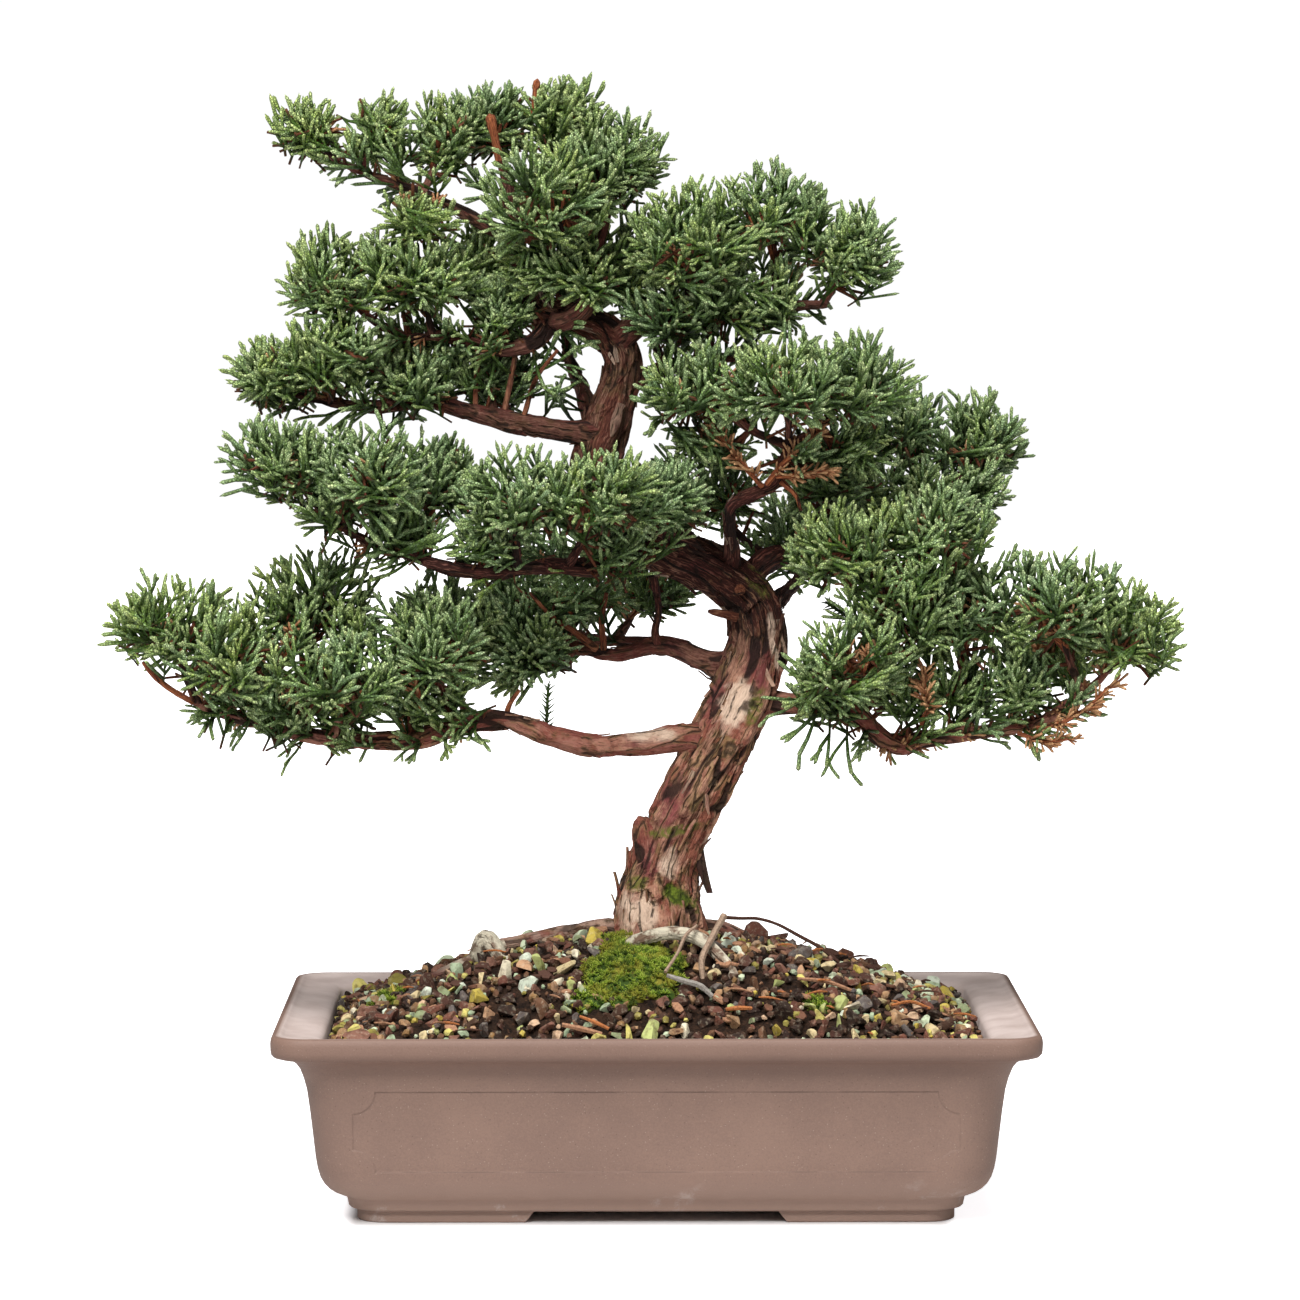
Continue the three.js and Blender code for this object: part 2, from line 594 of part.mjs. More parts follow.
// Least distance between two straight stretches.
function distanceBetween(p1, q1, p2, q2) {
  const d1 = q1.clone().sub(p1);
  const d2 = q2.clone().sub(p2);
  const r = p1.clone().sub(p2);
  const [a, e, f, c, b] = [d1.dot(d1), d2.dot(d2), d2.dot(r), d1.dot(r), d1.dot(d2)];
  const denominator = a * e - b * b;
  const clamp = (v) => Math.min(1, Math.max(0, v));
  let s = denominator > 1e-9 ? clamp((b * f - c * e) / denominator) : 0;
  let t = (b * s + f) / e;
  if (t < 0 || t > 1) {
    t = clamp(t);
    s = clamp((b * t - c) / a);
  }
  return p1.clone().addScaledVector(d1, s).distanceTo(p2.clone().addScaledVector(d2, t));
}

// How far outside a tuft's core a point lies, as a share of the core's size there.
function coreShare(tuft, p) {
  return p.clone().sub(tuft.core).divide(tuft.size).length() / CORE_SHARE;
}

// Grows one whip on each face but the seat, towards the tuft's outline, kept clear of wood and of other tufts.
function growWhips(tufts, wood) {
  const random = seeded(29);
  const grown = [];
  for (const tuft of tufts) {
    const faces = tuft.corners.length / 3;
    for (let face = 0; face < faces; face++) {
      const [bend, stretch, sideways] = [random(), random(), random()];
      if (face === tuft.seat) continue;
      const { middle, normal } = faceOf(tuft, face);
      const lift = tuft.growth.clone().multiplyScalar(0.35 + 0.2 * bend);
      const aim = normal.clone().multiply(tuft.size).normalize().add(lift).normalize();
      const outline = tuft.centre.clone().add(aim.clone().multiply(tuft.size).multiplyScalar(0.9 + 0.16 * stretch));
      outline.z += (sideways - 0.5) * 2;
      let tip = outline;
      let clear = false;
      for (let share = 1; share > 0.3 && !clear; share -= 0.1) {
        tip = middle.clone().lerp(outline, share);
        clear = whipIsClear(tuft, middle, tip, wood, grown, tufts);
      }
      if (!clear || tip.distanceTo(middle) < SHORTEST_WHIP) continue;
      tuft.whips.push({ face, tip });
      grown.push({ tuft, a: middle, b: tip });
    }
  }
}

function whipIsClear(tuft, from, tip, wood, grown, tufts) {
  for (const stretch of wood) {
    if (distanceBetween(from, tip, stretch.a, stretch.b) < stretch.radius * 1.15 + WHIP_RADIUS + 0.5) return false;
  }
  const outer = from.clone().lerp(tip, 0.4);
  for (const other of grown) {
    const start = other.tuft === tuft ? outer : from;
    const otherStart = other.tuft === tuft ? other.a.clone().lerp(other.b, 0.4) : other.a;
    if (distanceBetween(start, tip, otherStart, other.b) < 2.4 * WHIP_RADIUS) return false;
  }
  for (const other of tufts) {
    if (other === tuft || other.centre.distanceTo(tuft.centre) > 90) continue;
    for (let share = 0; share <= 1; share += 0.1) {
      if (coreShare(other, from.clone().lerp(tip, share)) < 1.35) return false;
    }
  }
  return true;
}

// A tuft's solid: each face of the core rises in a short skirt to the foot of its whip, and on to the whip's tip.
function makeTuft(tuft) {
  const positions = [];
  const triangles = [];
  const add = (p) => positions.push(p.x, p.y, p.z) / 3 - 1;
  const whipOn = new Map(tuft.whips.map((whip) => [whip.face, whip.tip]));
  for (let face = 0; face < tuft.corners.length / 3; face++) {
    const { a, b, c, middle } = faceOf(tuft, face);
    const [ia, ib, ic] = [add(a), add(b), add(c)];
    const tip = whipOn.get(face);
    if (!tip) {
      triangles.push(ia, ib, ic);
      continue;
    }
    const along = tip.clone().sub(middle);
    const foot = middle.clone().addScaledVector(along, 0.2);
    const shape = [a, b, c].map((corner) => {
      const out = corner.clone().sub(middle);
      out.addScaledVector(along, -out.dot(along) / along.lengthSq());
      return foot.clone().add(out.setLength(WHIP_RADIUS));
    });
    const [ja, jb, jc] = shape.map(add);
    const top = add(tip);
    for (const [p, q, u, v] of [[ia, ib, ja, jb], [ib, ic, jb, jc], [ic, ia, jc, ja]]) {
      triangles.push(p, q, v, p, v, u, u, v, top);
    }
  }
  return geometryFrom(positions, triangles);
}

const TRUNK_SIDES = 10;
const TRUNK_STEPS = 26;
const TRUNK_FLUTES = 0.045;

const branchSteps = (route) => Math.round((route.length - 1) * 0.7);

function rootTubes(grown) {
  return Object.values(ROOTS).map((route) => taperedTube(route, 5, route.length - 1, grown));
}

function makeWood(twigs) {
  const tubes = [taperedTube(TRUNK, TRUNK_SIDES, TRUNK_STEPS, 0, TRUNK_FLUTES), ...rootTubes(0)];
  for (const route of Object.values(BRANCHES)) tubes.push(taperedTube(route, 5, branchSteps(route)));
  tubes.push(taperedTube(STUMP, 6, 3));
  for (const route of twigs) tubes.push(taperedTube(route, 3, route.length - 1));
  return largest(wasm.Manifold.union(tubes));
}

// The holes that the soil and the moss keep for the trunk and the roots, a clearance wider than the wood.
function woodHoles() {
  const tubes = [taperedTube(TRUNK, TRUNK_SIDES, TRUNK_STEPS, CLEARANCE, TRUNK_FLUTES), ...rootTubes(CLEARANCE)];
  for (const route of Object.values(ROOTS)) {
    const [x, y, z, radius] = route[route.length - 1];
    const end = new THREE.OctahedronGeometry(radius * 1.3 + 2 * CLEARANCE, 0);
    tubes.push(solidOf(end.translate(x, y, z)));
  }
  return wasm.Manifold.union(tubes);
}

// Assembly

const root = new THREE.Group();

function addPart(name, geometry, colour, roughness) {
  geometry.computeVertexNormals();
  const material = new THREE.MeshStandardMaterial({ color: colour, roughness, metalness: 0 });
  const mesh = new THREE.Mesh(geometry, material);
  mesh.name = name;
  root.add(mesh);
}

const tufts = Object.keys(TUFTS).map(planTuft);
const twigs = tufts.map(twigRoute);
const woodStretches = [
  ...stretches(TRUNK, 60),
  ...Object.values(BRANCHES).flatMap((route) => stretches(route, 24)),
  ...twigs.flatMap((route) => stretches(route, 6)),
];
growWhips(tufts, woodStretches);

const holes = woodHoles();
const moss = mossCushion(0).subtract(holes);
const soil = makeSoil().subtract(holes).subtract(mossCushion(CLEARANCE));

addPart("pot", geometryOf(makePot()), COLOURS.stoneware, 0.8);
addPart("drainage_screen_left", geometryOf(makeScreen(-1)), COLOURS.screen, 0.6);
addPart("drainage_screen_right", geometryOf(makeScreen(1)), COLOURS.screen, 0.6);
addPart("soil", geometryOf(largest(soil)), COLOURS.soil, 0.95);
addPart("moss", geometryOf(largest(moss)), COLOURS.moss, 1);
addPart("wood", geometryOf(makeWood(twigs)), COLOURS.bark, 0.85);
for (const tuft of tufts) addPart("leaves_" + tuft.name, makeTuft(tuft), COLOURS.leaves, 0.7);

const outline = new THREE.Box3().setFromObject(root);
const footprint = outline.getCenter(new THREE.Vector3());
root.position.set(-footprint.x, -footprint.y, 0);

export default root;
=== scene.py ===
import math
import random

import bmesh
import bpy
from mathutils import Matrix, Vector, noise


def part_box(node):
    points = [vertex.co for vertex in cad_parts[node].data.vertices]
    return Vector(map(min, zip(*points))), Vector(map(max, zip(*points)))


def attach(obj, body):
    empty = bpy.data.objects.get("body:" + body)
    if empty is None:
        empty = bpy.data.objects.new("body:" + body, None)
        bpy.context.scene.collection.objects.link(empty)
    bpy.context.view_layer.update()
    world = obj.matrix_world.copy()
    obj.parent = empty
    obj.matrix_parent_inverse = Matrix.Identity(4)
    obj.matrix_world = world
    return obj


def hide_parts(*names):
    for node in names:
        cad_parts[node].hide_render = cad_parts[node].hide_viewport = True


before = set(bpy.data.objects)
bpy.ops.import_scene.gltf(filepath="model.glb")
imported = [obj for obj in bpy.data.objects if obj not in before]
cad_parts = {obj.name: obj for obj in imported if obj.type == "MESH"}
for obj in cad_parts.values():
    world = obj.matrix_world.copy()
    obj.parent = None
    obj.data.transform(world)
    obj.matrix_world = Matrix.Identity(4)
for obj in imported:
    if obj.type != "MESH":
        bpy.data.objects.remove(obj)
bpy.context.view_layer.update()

# The tree and its pot are laid out in millimetres round the pot's middle, -Y towards the viewer, and each
# finished mesh is moved to the frame.

MM = 0.001
POT_LOW, POT_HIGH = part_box("pot")
POT_X = (POT_LOW[0] + POT_HIGH[0]) / 2 / MM
TO_FRAME = Matrix.Translation((POT_X * MM, 0, 0)) @ Matrix.Scale(MM, 4)
UP = Vector((0, 0, 1))
FULL_TURN = 2 * math.pi
GOLDEN_ANGLE = 2.39996

# noise_vector takes its offsets from the clock unless it is seeded
noise.seed_set(1)

# Camera, fitted to the pot in the picture: turned and dropped in degrees, its focal length in picture widths

CAMERA_X, CAMERA_Y, CAMERA_Z = -22, -2450, 392
CAMERA_TURN = 0.47
CAMERA_DROP = 3.85
FOCAL_WIDTHS = 5905 / 1300
SENSOR = 36

# Studio: even light from the sky, and square lamps as place, aim, side in metres and power in watts

SKY_TOWARDS = (0.05, 0.4, -1)
SKY_BREADTH = 34
SKY_POWER = 3.3
LAMPS = {
    "key_light": ((-0.6, -1.7, 1.5), (0, 0, 0.22), 0.6, 37),
    "fill_light": ((1.7, -1.5, 1.0), (0, 0, 0.25), 1.4, 4),
}
WORLD_STRENGTH = 0.19
BACKDROP_STRENGTH = 1.02
FLOOR_HALF_SIZE = 6


def add_camera():
    data = bpy.data.cameras.new("camera")
    data.sensor_width = SENSOR
    data.lens = FOCAL_WIDTHS * SENSOR
    data.clip_end = 50
    camera = bpy.data.objects.new("camera", data)
    camera.location = TO_FRAME @ Vector((CAMERA_X, CAMERA_Y, CAMERA_Z))
    camera.rotation_euler = (math.radians(90 - CAMERA_DROP), 0, math.radians(-CAMERA_TURN))
    bpy.context.collection.objects.link(camera)
    bpy.context.scene.camera = camera


def add_lamp(name, place, aim, side, power):
    data = bpy.data.lights.new(name, "AREA")
    data.shape = "SQUARE"
    data.size = side
    data.energy = power
    lamp = bpy.data.objects.new(name, data)
    lamp.location = place
    lamp.rotation_euler = (Vector(aim) - Vector(place)).to_track_quat("-Z", "Y").to_euler()
    bpy.context.collection.objects.link(lamp)


def add_sky():
    """Even light over the whole floor, from a broad patch of sky."""
    data = bpy.data.lights.new("sky_light", "SUN")
    data.angle = math.radians(SKY_BREADTH)
    data.energy = SKY_POWER
    sky = bpy.data.objects.new("sky_light", data)
    sky.rotation_euler = Vector(SKY_TOWARDS).to_track_quat("-Z", "Y").to_euler()
    bpy.context.collection.objects.link(sky)


def add_studio():
    add_sky()
    for name, settings in LAMPS.items():
        add_lamp(name, *settings)
    world = bpy.data.worlds.new("studio")
    world.use_nodes = True
    tree = world.node_tree
    soft = tree.nodes["Background"]
    soft.inputs["Color"].default_value = (1, 1, 1, 1)
    soft.inputs["Strength"].default_value = WORLD_STRENGTH
    backdrop = add_node(
        tree, "ShaderNodeBackground", {"Color": (1, 1, 1, 1), "Strength": BACKDROP_STRENGTH})
    seen = add_node(tree, "ShaderNodeLightPath").outputs["Is Camera Ray"]
    either = add_node(tree, "ShaderNodeMixShader", {0: seen, 1: soft.outputs[0], 2: backdrop.outputs[0]})
    tree.links.new(either.outputs[0], tree.nodes["World Output"].inputs["Surface"])
    bpy.context.scene.world = world
    bpy.context.scene.view_settings.view_transform = "Standard"

    bm = bmesh.new()
    bmesh.ops.create_grid(bm, x_segments=8, y_segments=8, size=FLOOR_HALF_SIZE)
    mesh = bpy.data.meshes.new("floor")
    bm.to_mesh(mesh)
    bm.free()
    floor = bpy.data.objects.new("floor", mesh)
    bpy.context.collection.objects.link(floor)
    mesh.materials.append(floor_material())


# Shader helpers


def set_inputs(tree, made, inputs):
    """Links or sets each named input of a node."""
    for name, value in inputs.items():
        if isinstance(value, bpy.types.NodeSocket):
            tree.links.new(value, made.inputs[name])
        else:
            made.inputs[name].default_value = value


def add_node(tree, kind, inputs=None, **settings):
    """A node with its settings, and with each input linked or set."""
    made = tree.nodes.new(kind)
    for name, value in settings.items():
        setattr(made, name, value)
    set_inputs(tree, made, inputs or {})
    return made


def painted(colour):
    """A colour as it is, or the linear values of one given as on a paint card, such as 7A4B38."""
    if not isinstance(colour, str):
        return colour
    parts = [int(colour[i:i + 2], 16) / 255 for i in (0, 2, 4)]
    linear = [part / 12.92 if part <= 0.04045 else ((part + 0.055) / 1.055) ** 2.4 for part in parts]
    return (*linear, 1)


def mix_colour(tree, share, low, high):
    inputs = {0: share, 6: painted(low), 7: painted(high)}
    return add_node(tree, "ShaderNodeMix", inputs, data_type="RGBA", blend_type="MIX").outputs[2]


def maths(tree, operation, first, second=0.0, third=0.0):
    return add_node(tree, "ShaderNodeMath", {0: first, 1: second, 2: third}, operation=operation).outputs[0]


def times(tree, first, second):
    return maths(tree, "MULTIPLY", first, second)


def spread(tree, value, low, high, to_low=0.0, to_high=1.0):
    """The value, eased from its own range to a new one."""
    inputs = {"Value": value, "From Min": low, "From Max": high, "To Min": to_low, "To Max": to_high}
    return add_node(tree, "ShaderNodeMapRange", inputs, interpolation_type="SMOOTHSTEP").outputs[0]


def ramp(tree, value, stops, interpolation="LINEAR"):
    """A colour ramp from (place, paint card colour) stops."""
    made = add_node(tree, "ShaderNodeValToRGB", {0: value})
    made.color_ramp.interpolation = interpolation
    elements = made.color_ramp.elements
    while len(elements) < len(stops):
        elements.new(0.5)
    for element, (place, colour) in zip(elements, stops):
        element.position = place
        element.color = painted(colour)
    return made.outputs[0]


def noise_value(tree, vector, scale, detail=3.0, roughness=0.55):
    inputs = {"Vector": vector, "Scale": scale, "Detail": detail, "Roughness": roughness}
    return add_node(tree, "ShaderNodeTexNoise", inputs).outputs[0]


def read_attribute(tree, name):
    """A number that each vertex holds."""
    return add_node(tree, "ShaderNodeAttribute", attribute_name=name).outputs["Fac"]


def read_height(tree, place):
    return add_node(tree, "ShaderNodeSeparateXYZ", {0: place}).outputs[2]


def millimetres(tree):
    """Object coordinates in millimetres round the pot's middle."""
    place = add_node(tree, "ShaderNodeTexCoord").outputs["Object"]
    inputs = {"Vector": place, "Location": (-POT_X, 0, 0), "Scale": (1 / MM, 1 / MM, 1 / MM)}
    return add_node(tree, "ShaderNodeMapping", inputs).outputs[0]


def new_material(name):
    material = bpy.data.materials.new(name)
    material.use_nodes = True
    tree = material.node_tree
    return material, tree, tree.nodes["Principled BSDF"]


def finish_surface(tree, shader, colour, roughness, height, depth, gloss=0.3):
    """Joins a colour, a roughness and a bump height in metres to the shader."""
    tree.links.new(colour, shader.inputs["Base Color"])
    shader.inputs["Roughness"].default_value = roughness
    shader.inputs["Specular IOR Level"].default_value = gloss
    bump = add_node(tree, "ShaderNodeBump", {"Height": height, "Distance": depth})
    tree.links.new(bump.outputs[0], shader.inputs["Normal"])


def shader_group(name, inputs, outputs):
    group = bpy.data.node_groups.new(name, "ShaderNodeTree")
    for label, kind, default in inputs:
        socket = group.interface.new_socket(name=label, in_out="INPUT", socket_type=kind)
        if default is not None:
            socket.default_value = default
    for label, kind in outputs:
        group.interface.new_socket(name=label, in_out="OUTPUT", socket_type=kind)
    return group, group.nodes.new("NodeGroupInput"), group.nodes.new("NodeGroupOutput")


def make_grain_group():
    """Fine grain of clay, earth and plastic: a mottled colour between two, and a bump height."""
    inputs = [
        ("Vector", "NodeSocketVector", None),
        ("Blotch Scale", "NodeSocketFloat", 0.1),
        ("Grain Scale", "NodeSocketFloat", 2.0),
        ("Low", "NodeSocketColor", None),
        ("High", "NodeSocketColor", None),
    ]
    outputs = [("Colour", "NodeSocketColor"), ("Height", "NodeSocketFloat")]
    group, given, result = shader_group("fine_grain", inputs, outputs)
    blotch = noise_value(group, given.outputs["Vector"], given.outputs["Blotch Scale"], 4.0, 0.6)
    grain = noise_value(group, given.outputs["Vector"], given.outputs["Grain Scale"], 2.0, 0.7)
    share = maths(group, "MULTIPLY_ADD", grain, 0.45, times(group, blotch, 0.55))
    colour = mix_colour(group, spread(group, share, 0.36, 0.64), given.outputs["Low"], given.outputs["High"])
    group.links.new(colour, result.inputs["Colour"])
    group.links.new(grain, result.inputs["Height"])
    return group


def make_speck_group():
    """Scattered specks: a mask that is 1 in a few round dots."""
    inputs = [
        ("Vector", "NodeSocketVector", None),
        ("Scale", "NodeSocketFloat", 1.0),
        ("Size", "NodeSocketFloat", 0.2),
        ("Share", "NodeSocketFloat", 0.3),
    ]
    group, given, result = shader_group("specks", inputs, [("Mask", "NodeSocketFloat")])
    cells = add_node(group, "ShaderNodeTexVoronoi", {
        "Vector": given.outputs["Vector"], "Scale": given.outputs["Scale"]})
    lot = add_node(group, "ShaderNodeSeparateColor", {0: cells.outputs["Color"]}).outputs[0]
    chosen = maths(group, "LESS_THAN", lot, given.outputs["Share"])
    dot = spread(group, cells.outputs["Distance"], given.outputs["Size"], 0.0)
    group.links.new(times(group, chosen, dot), result.inputs["Mask"])
    return group


GRAIN = make_grain_group()
SPECKS = make_speck_group()


def place_group(tree, group, inputs):
    made = tree.nodes.new("ShaderNodeGroup")
    made.node_tree = group
    set_inputs(tree, made, inputs)
    return made


def place_grain(tree, vector, blotch, fine, low, high):
    return place_group(tree, GRAIN, {
        "Vector": vector, "Blotch Scale": blotch, "Grain Scale": fine,
        "Low": painted(low), "High": painted(high)})


def place_specks(tree, vector, scale, size, share):
    inputs = {"Vector": vector, "Scale": scale, "Size": size, "Share": share}
    return place_group(tree, SPECKS, inputs).outputs["Mask"]


# Materials


# Painted glow: the floor glows from these distances in metres, washing out the shadows thrown on it, so that
# only the ground near the pot takes its shadow
GLOW_BESIDE = (0.118, 0.126)
GLOW_BEFORE = (0.086, 0.118)
PAINTED_FLOOR_GLOW = 0.85


def floor_material():
    """Plain pale floor. It looks brighter to the camera than the light it throws back on the tree."""
    material, tree, shader = new_material("studio_floor")
    place = add_node(tree, "ShaderNodeTexCoord").outputs["Object"]
    tone = mix_colour(tree, noise_value(tree, place, 3.0), (0.92, 0.92, 0.93, 1), (0.95, 0.95, 0.95, 1))
    tree.links.new(tone, shader.inputs["Base Color"])
    shader.inputs["Roughness"].default_value = 0.9
    shader.inputs["Specular IOR Level"].default_value = 0.1
    shader.inputs["Emission Color"].default_value = (1, 0.985, 1, 1)
    parts = add_node(tree, "ShaderNodeSeparateXYZ", {0: place})
    beside = spread(tree, maths(tree, "ABSOLUTE", parts.outputs[0]), *GLOW_BESIDE, 0.0, PAINTED_FLOOR_GLOW)
    before = spread(tree, maths(tree, "ABSOLUTE", parts.outputs[1]), *GLOW_BEFORE, 0.0, PAINTED_FLOOR_GLOW)
    # Painted glow: emission strength that whitens the floor and its shadows away from the pot
    clear = maths(tree, "MAXIMUM", beside, before)
    tree.links.new(clear, shader.inputs["Emission Strength"])
    dim = add_node(tree, "ShaderNodeBsdfDiffuse", {"Color": (0.66, 0.65, 0.65, 1)})
    seen = add_node(tree, "ShaderNodeLightPath").outputs["Is Camera Ray"]
    either = add_node(tree, "ShaderNodeMixShader", {0: seen, 1: dim.outputs[0], 2: shader.outputs[0]})
    tree.links.new(either.outputs[0], tree.nodes["Material Output"].inputs["Surface"])
    return material


# The sunk panel on the pot's sides, and how much less deep than wide the pot is, by half
PANEL_HALF_LENGTH = 122
PANEL_MIDDLE = 39.5
PANEL_HALF_HEIGHT = 16.5
PANEL_NOTCH = 9
SIDE_DIFFERENCE = 42.5
# Heights between which painted shade darkens the clay under the lip, the clay pales at the foot and is
# scuffed there
SHADE_UNDER_LIP = (60.0, 67.0)
PALE_FOOT = (24.0, 9.0)
SCUFFED_FOOT = (24.0, 4.0)


def panel_distance(tree, place):
    """Distance in millimetres from the edge of the panel on each side of the pot, negative inside it."""
    parts = add_node(tree, "ShaderNodeSeparateXYZ", {0: place})
    x = maths(tree, "ABSOLUTE", parts.outputs[0])
    y = maths(tree, "ADD", maths(tree, "ABSOLUTE", parts.outputs[1]), SIDE_DIFFERENCE)
    across = maths(tree, "SUBTRACT", maths(tree, "MINIMUM", x, y), PANEL_HALF_LENGTH)
    height = maths(tree, "ABSOLUTE", maths(tree, "SUBTRACT", parts.outputs[2], PANEL_MIDDLE))
    above = maths(tree, "SUBTRACT", height, PANEL_HALF_HEIGHT)
    squares = maths(tree, "MULTIPLY_ADD", across, across, times(tree, above, above))
    corner = maths(tree, "POWER", squares, 0.5)
    notch = maths(tree, "SUBTRACT", PANEL_NOTCH, corner)
    return maths(tree, "MAXIMUM", maths(tree, "MAXIMUM", across, above), notch)


def stoneware_material():
    material, tree, shader = new_material("stoneware")
    place = millimetres(tree)
    clay = place_grain(tree, place, 0.02, 1.3, "7C6459", "886E61")
    light = place_specks(tree, place, 0.62, 0.2, 0.5)
    dark = place_specks(tree, place, 0.55, 0.2, 0.35)
    colour = mix_colour(tree, times(tree, light, 0.6), clay.outputs["Colour"], "B8A69B")
    colour = mix_colour(tree, times(tree, dark, 0.7), colour, "4E3A32")

    edge = panel_distance(tree, place)
    inside = spread(tree, edge, 0.5, -0.5)
    broken = spread(tree, noise_value(tree, place, 0.05), 0.36, 0.6, 0.15, 1.0)
    height = read_height(tree, place)
    level = maths(tree, "ABSOLUTE", maths(tree, "SUBTRACT", height, PANEL_MIDDLE))
    along_edge = spread(tree, level, PANEL_HALF_HEIGHT - 1.2, PANEL_HALF_HEIGHT - 0.4, 0.2, 1.0)
    # Painted shade: a dark line along the sunk panel's edge, strongest on its upper and lower edges
    panel_edge_shade = times(tree, spread(tree, maths(tree, "ABSOLUTE", edge), 0.45, 0.05), broken)
    panel_edge_shade = times(tree, panel_edge_shade, along_edge)
    colour = mix_colour(tree, times(tree, panel_edge_shade, 0.5), colour, "4A3830")

    dust = read_attribute(tree, "dust")
    # Painted shade under the lip, less where dust lies
    lip = times(tree, spread(tree, height, *SHADE_UNDER_LIP, 0.0, 0.5), spread(tree, dust, 0.3, 0.0))
    colour = mix_colour(tree, lip, colour, "695045")
    colour = mix_colour(tree, spread(tree, height, *PALE_FOOT, 0.0, 0.75), colour, "A3887A")
    cloudy = spread(tree, noise_value(tree, place, 0.05, 5.0), 0.2, 0.7, 0.55, 1.0)
    dusty = times(tree, dust, cloudy)
    colour = mix_colour(tree, dusty, colour, "CBBBB5")
    scuffed = spread(tree, noise_value(tree, place, 0.022, 8.0, 0.75), 0.56, 0.66)
    scuff = times(tree, scuffed, spread(tree, height, *SCUFFED_FOOT))
    colour = mix_colour(tree, times(tree, scuff, 0.6), colour, "C8BCB5")

    relief = maths(tree, "MULTIPLY_ADD", clay.outputs["Height"], 0.16, times(tree, inside, -0.35))
    relief = maths(tree, "MULTIPLY_ADD", light, 0.06, relief)
    finish_surface(tree, shader, colour, 0.6, relief, MM, 0.35)
    return material


def screen_material():
    material, tree, shader = new_material("screen_plastic")
    place = millimetres(tree)
    plastic = place_grain(tree, place, 0.2, 3.0, "191919", "2B2B2B")
    finish_surface(tree, shader, plastic.outputs["Colour"], 0.55, plastic.outputs["Height"], 0.1 * MM)
    return material


def humus_material():
    material, tree, shader = new_material("soil_humus")
    place = millimetres(tree)
    earth = place_grain(tree, place, 0.25, 1.1, "150E0A", "3A281D")
    crumb = place_specks(tree, place, 0.6, 0.5, 0.3)
    colour = mix_colour(tree, times(tree, crumb, 0.5), earth.outputs["Colour"], "6A4A36")
    finish_surface(tree, shader, colour, 0.95, earth.outputs["Height"], 1.6 * MM, 0.15)
    return material


# Grains of one kind take one of its colours each, by lot
GRIT_COLOURS = {
    "pumice": [
        (0.0, "C2A182"), (0.16, "A8835F"), (0.3, "CDB98C"), (0.42, "B9A448"), (0.56, "B58D6C"),
        (0.68, "C8BC6A"), (0.8, "8F6F50"), (0.9, "DDD2B6"),
    ],
    "zeolite": [
        (0.0, "A3B392"), (0.25, "BBC6A6"), (0.45, "93A383"), (0.62, "A9B06E"), (0.78, "C9D1BC"),
        (0.9, "86906A"),
    ],
    "lava": [
        (0.0, "4A2F26"), (0.22, "653E32"), (0.42, "74493A"), (0.58, "33241F"), (0.72, "80594A"),
        (0.86, "5E5652"),
    ],
    "crumb": [(0.0, "2A1D16"), (0.3, "452F23"), (0.55, "664733"), (0.75, "86653F"), (0.88, "8F8440")],
}
GRIT_EDGE_ANGLE = 32
GRIT_BUMP = {"pumice": 0.35, "zeolite": 0.12, "lava": 0.6, "crumb": 0.4}


def grit_material(kind):
    material, tree, shader = new_material("grit_" + kind)
    place = millimetres(tree)
    lot = read_attribute(tree, "lot")
    body = ramp(tree, lot, GRIT_COLOURS[kind], "CONSTANT")
    dirt = spread(tree, noise_value(tree, place, 0.35, 4.0), 0.45, 0.7)
    colour = mix_colour(tree, times(tree, dirt, 0.6), body, "4A3122")
    # Painted sheen: pale light patches laid over the grains
    painted_sheen = spread(tree, noise_value(tree, place, 0.6, 4.0), 0.5, 0.72, 0.0, 0.22)
    colour = mix_colour(tree, painted_sheen, colour, "CFC4AA")
    pits = place_specks(tree, place, 1.5, 0.45, 0.6)
    colour = mix_colour(tree, times(tree, pits, 0.25), colour, "3A2A20")
    rough = noise_value(tree, place, 1.3, 3.0, 0.65)
    height = maths(tree, "MULTIPLY_ADD", pits, -0.5, rough)
    finish_surface(tree, shader, colour, 0.85, height, GRIT_BUMP[kind] * MM, 0.25)
    return material


def moss_material():
    material, tree, shader = new_material("moss")
    place = millimetres(tree)
    growth = read_attribute(tree, "growth")
    tone = read_attribute(tree, "tone")
    # From the dark foot of the stems, partly their own colour and partly painted shade among them, to the
    # light tips
    stops = [(0.0, "131804"), (0.3, "2A3A0A"), (0.7, "6E861A"), (1.0, "CCD664")]
    fresh = ramp(tree, growth, stops)
    patch = spread(tree, noise_value(tree, place, 0.09), 0.42, 0.6)
    colour = mix_colour(tree, times(tree, patch, 0.6), fresh, "94802A")
    # Painted shade: dark hollows among the moss clumps
    deep = spread(tree, noise_value(tree, place, 0.24, 3.0), 0.48, 0.62, 0.0, 0.85)
    colour = mix_colour(tree, deep, colour, "243409")
    colour = mix_colour(tree, times(tree, tone, 0.35), colour, "4A7010")
    finish_surface(tree, shader, colour, 0.75, noise_value(tree, place, 2.0), 0.3 * MM, 0.25)
    return material


# What each vertex of the wood holds for its colour
BARK_VALUES = ("plate", "crack", "pale", "purple", "green", "olive", "young", "root")
# Heights between which the wood darkens at the upper bend, partly in painted shade from the crown and partly
# as darker, redder bark, clears again under the crown, and turns earthy
DARK_BEND = (205.0, 245.0)
CLEAR_CROWN = (280.0, 320.0)
EARTHY_FOOT = (101.0, 92.0)
BARK_COLOURS = [
    (0.0, "68362A"), (0.22, "9E604C"), (0.4, "84493A"), (0.58, "BC8B72"), (0.76, "5C2E26"), (1.0, "A6705C"),
]


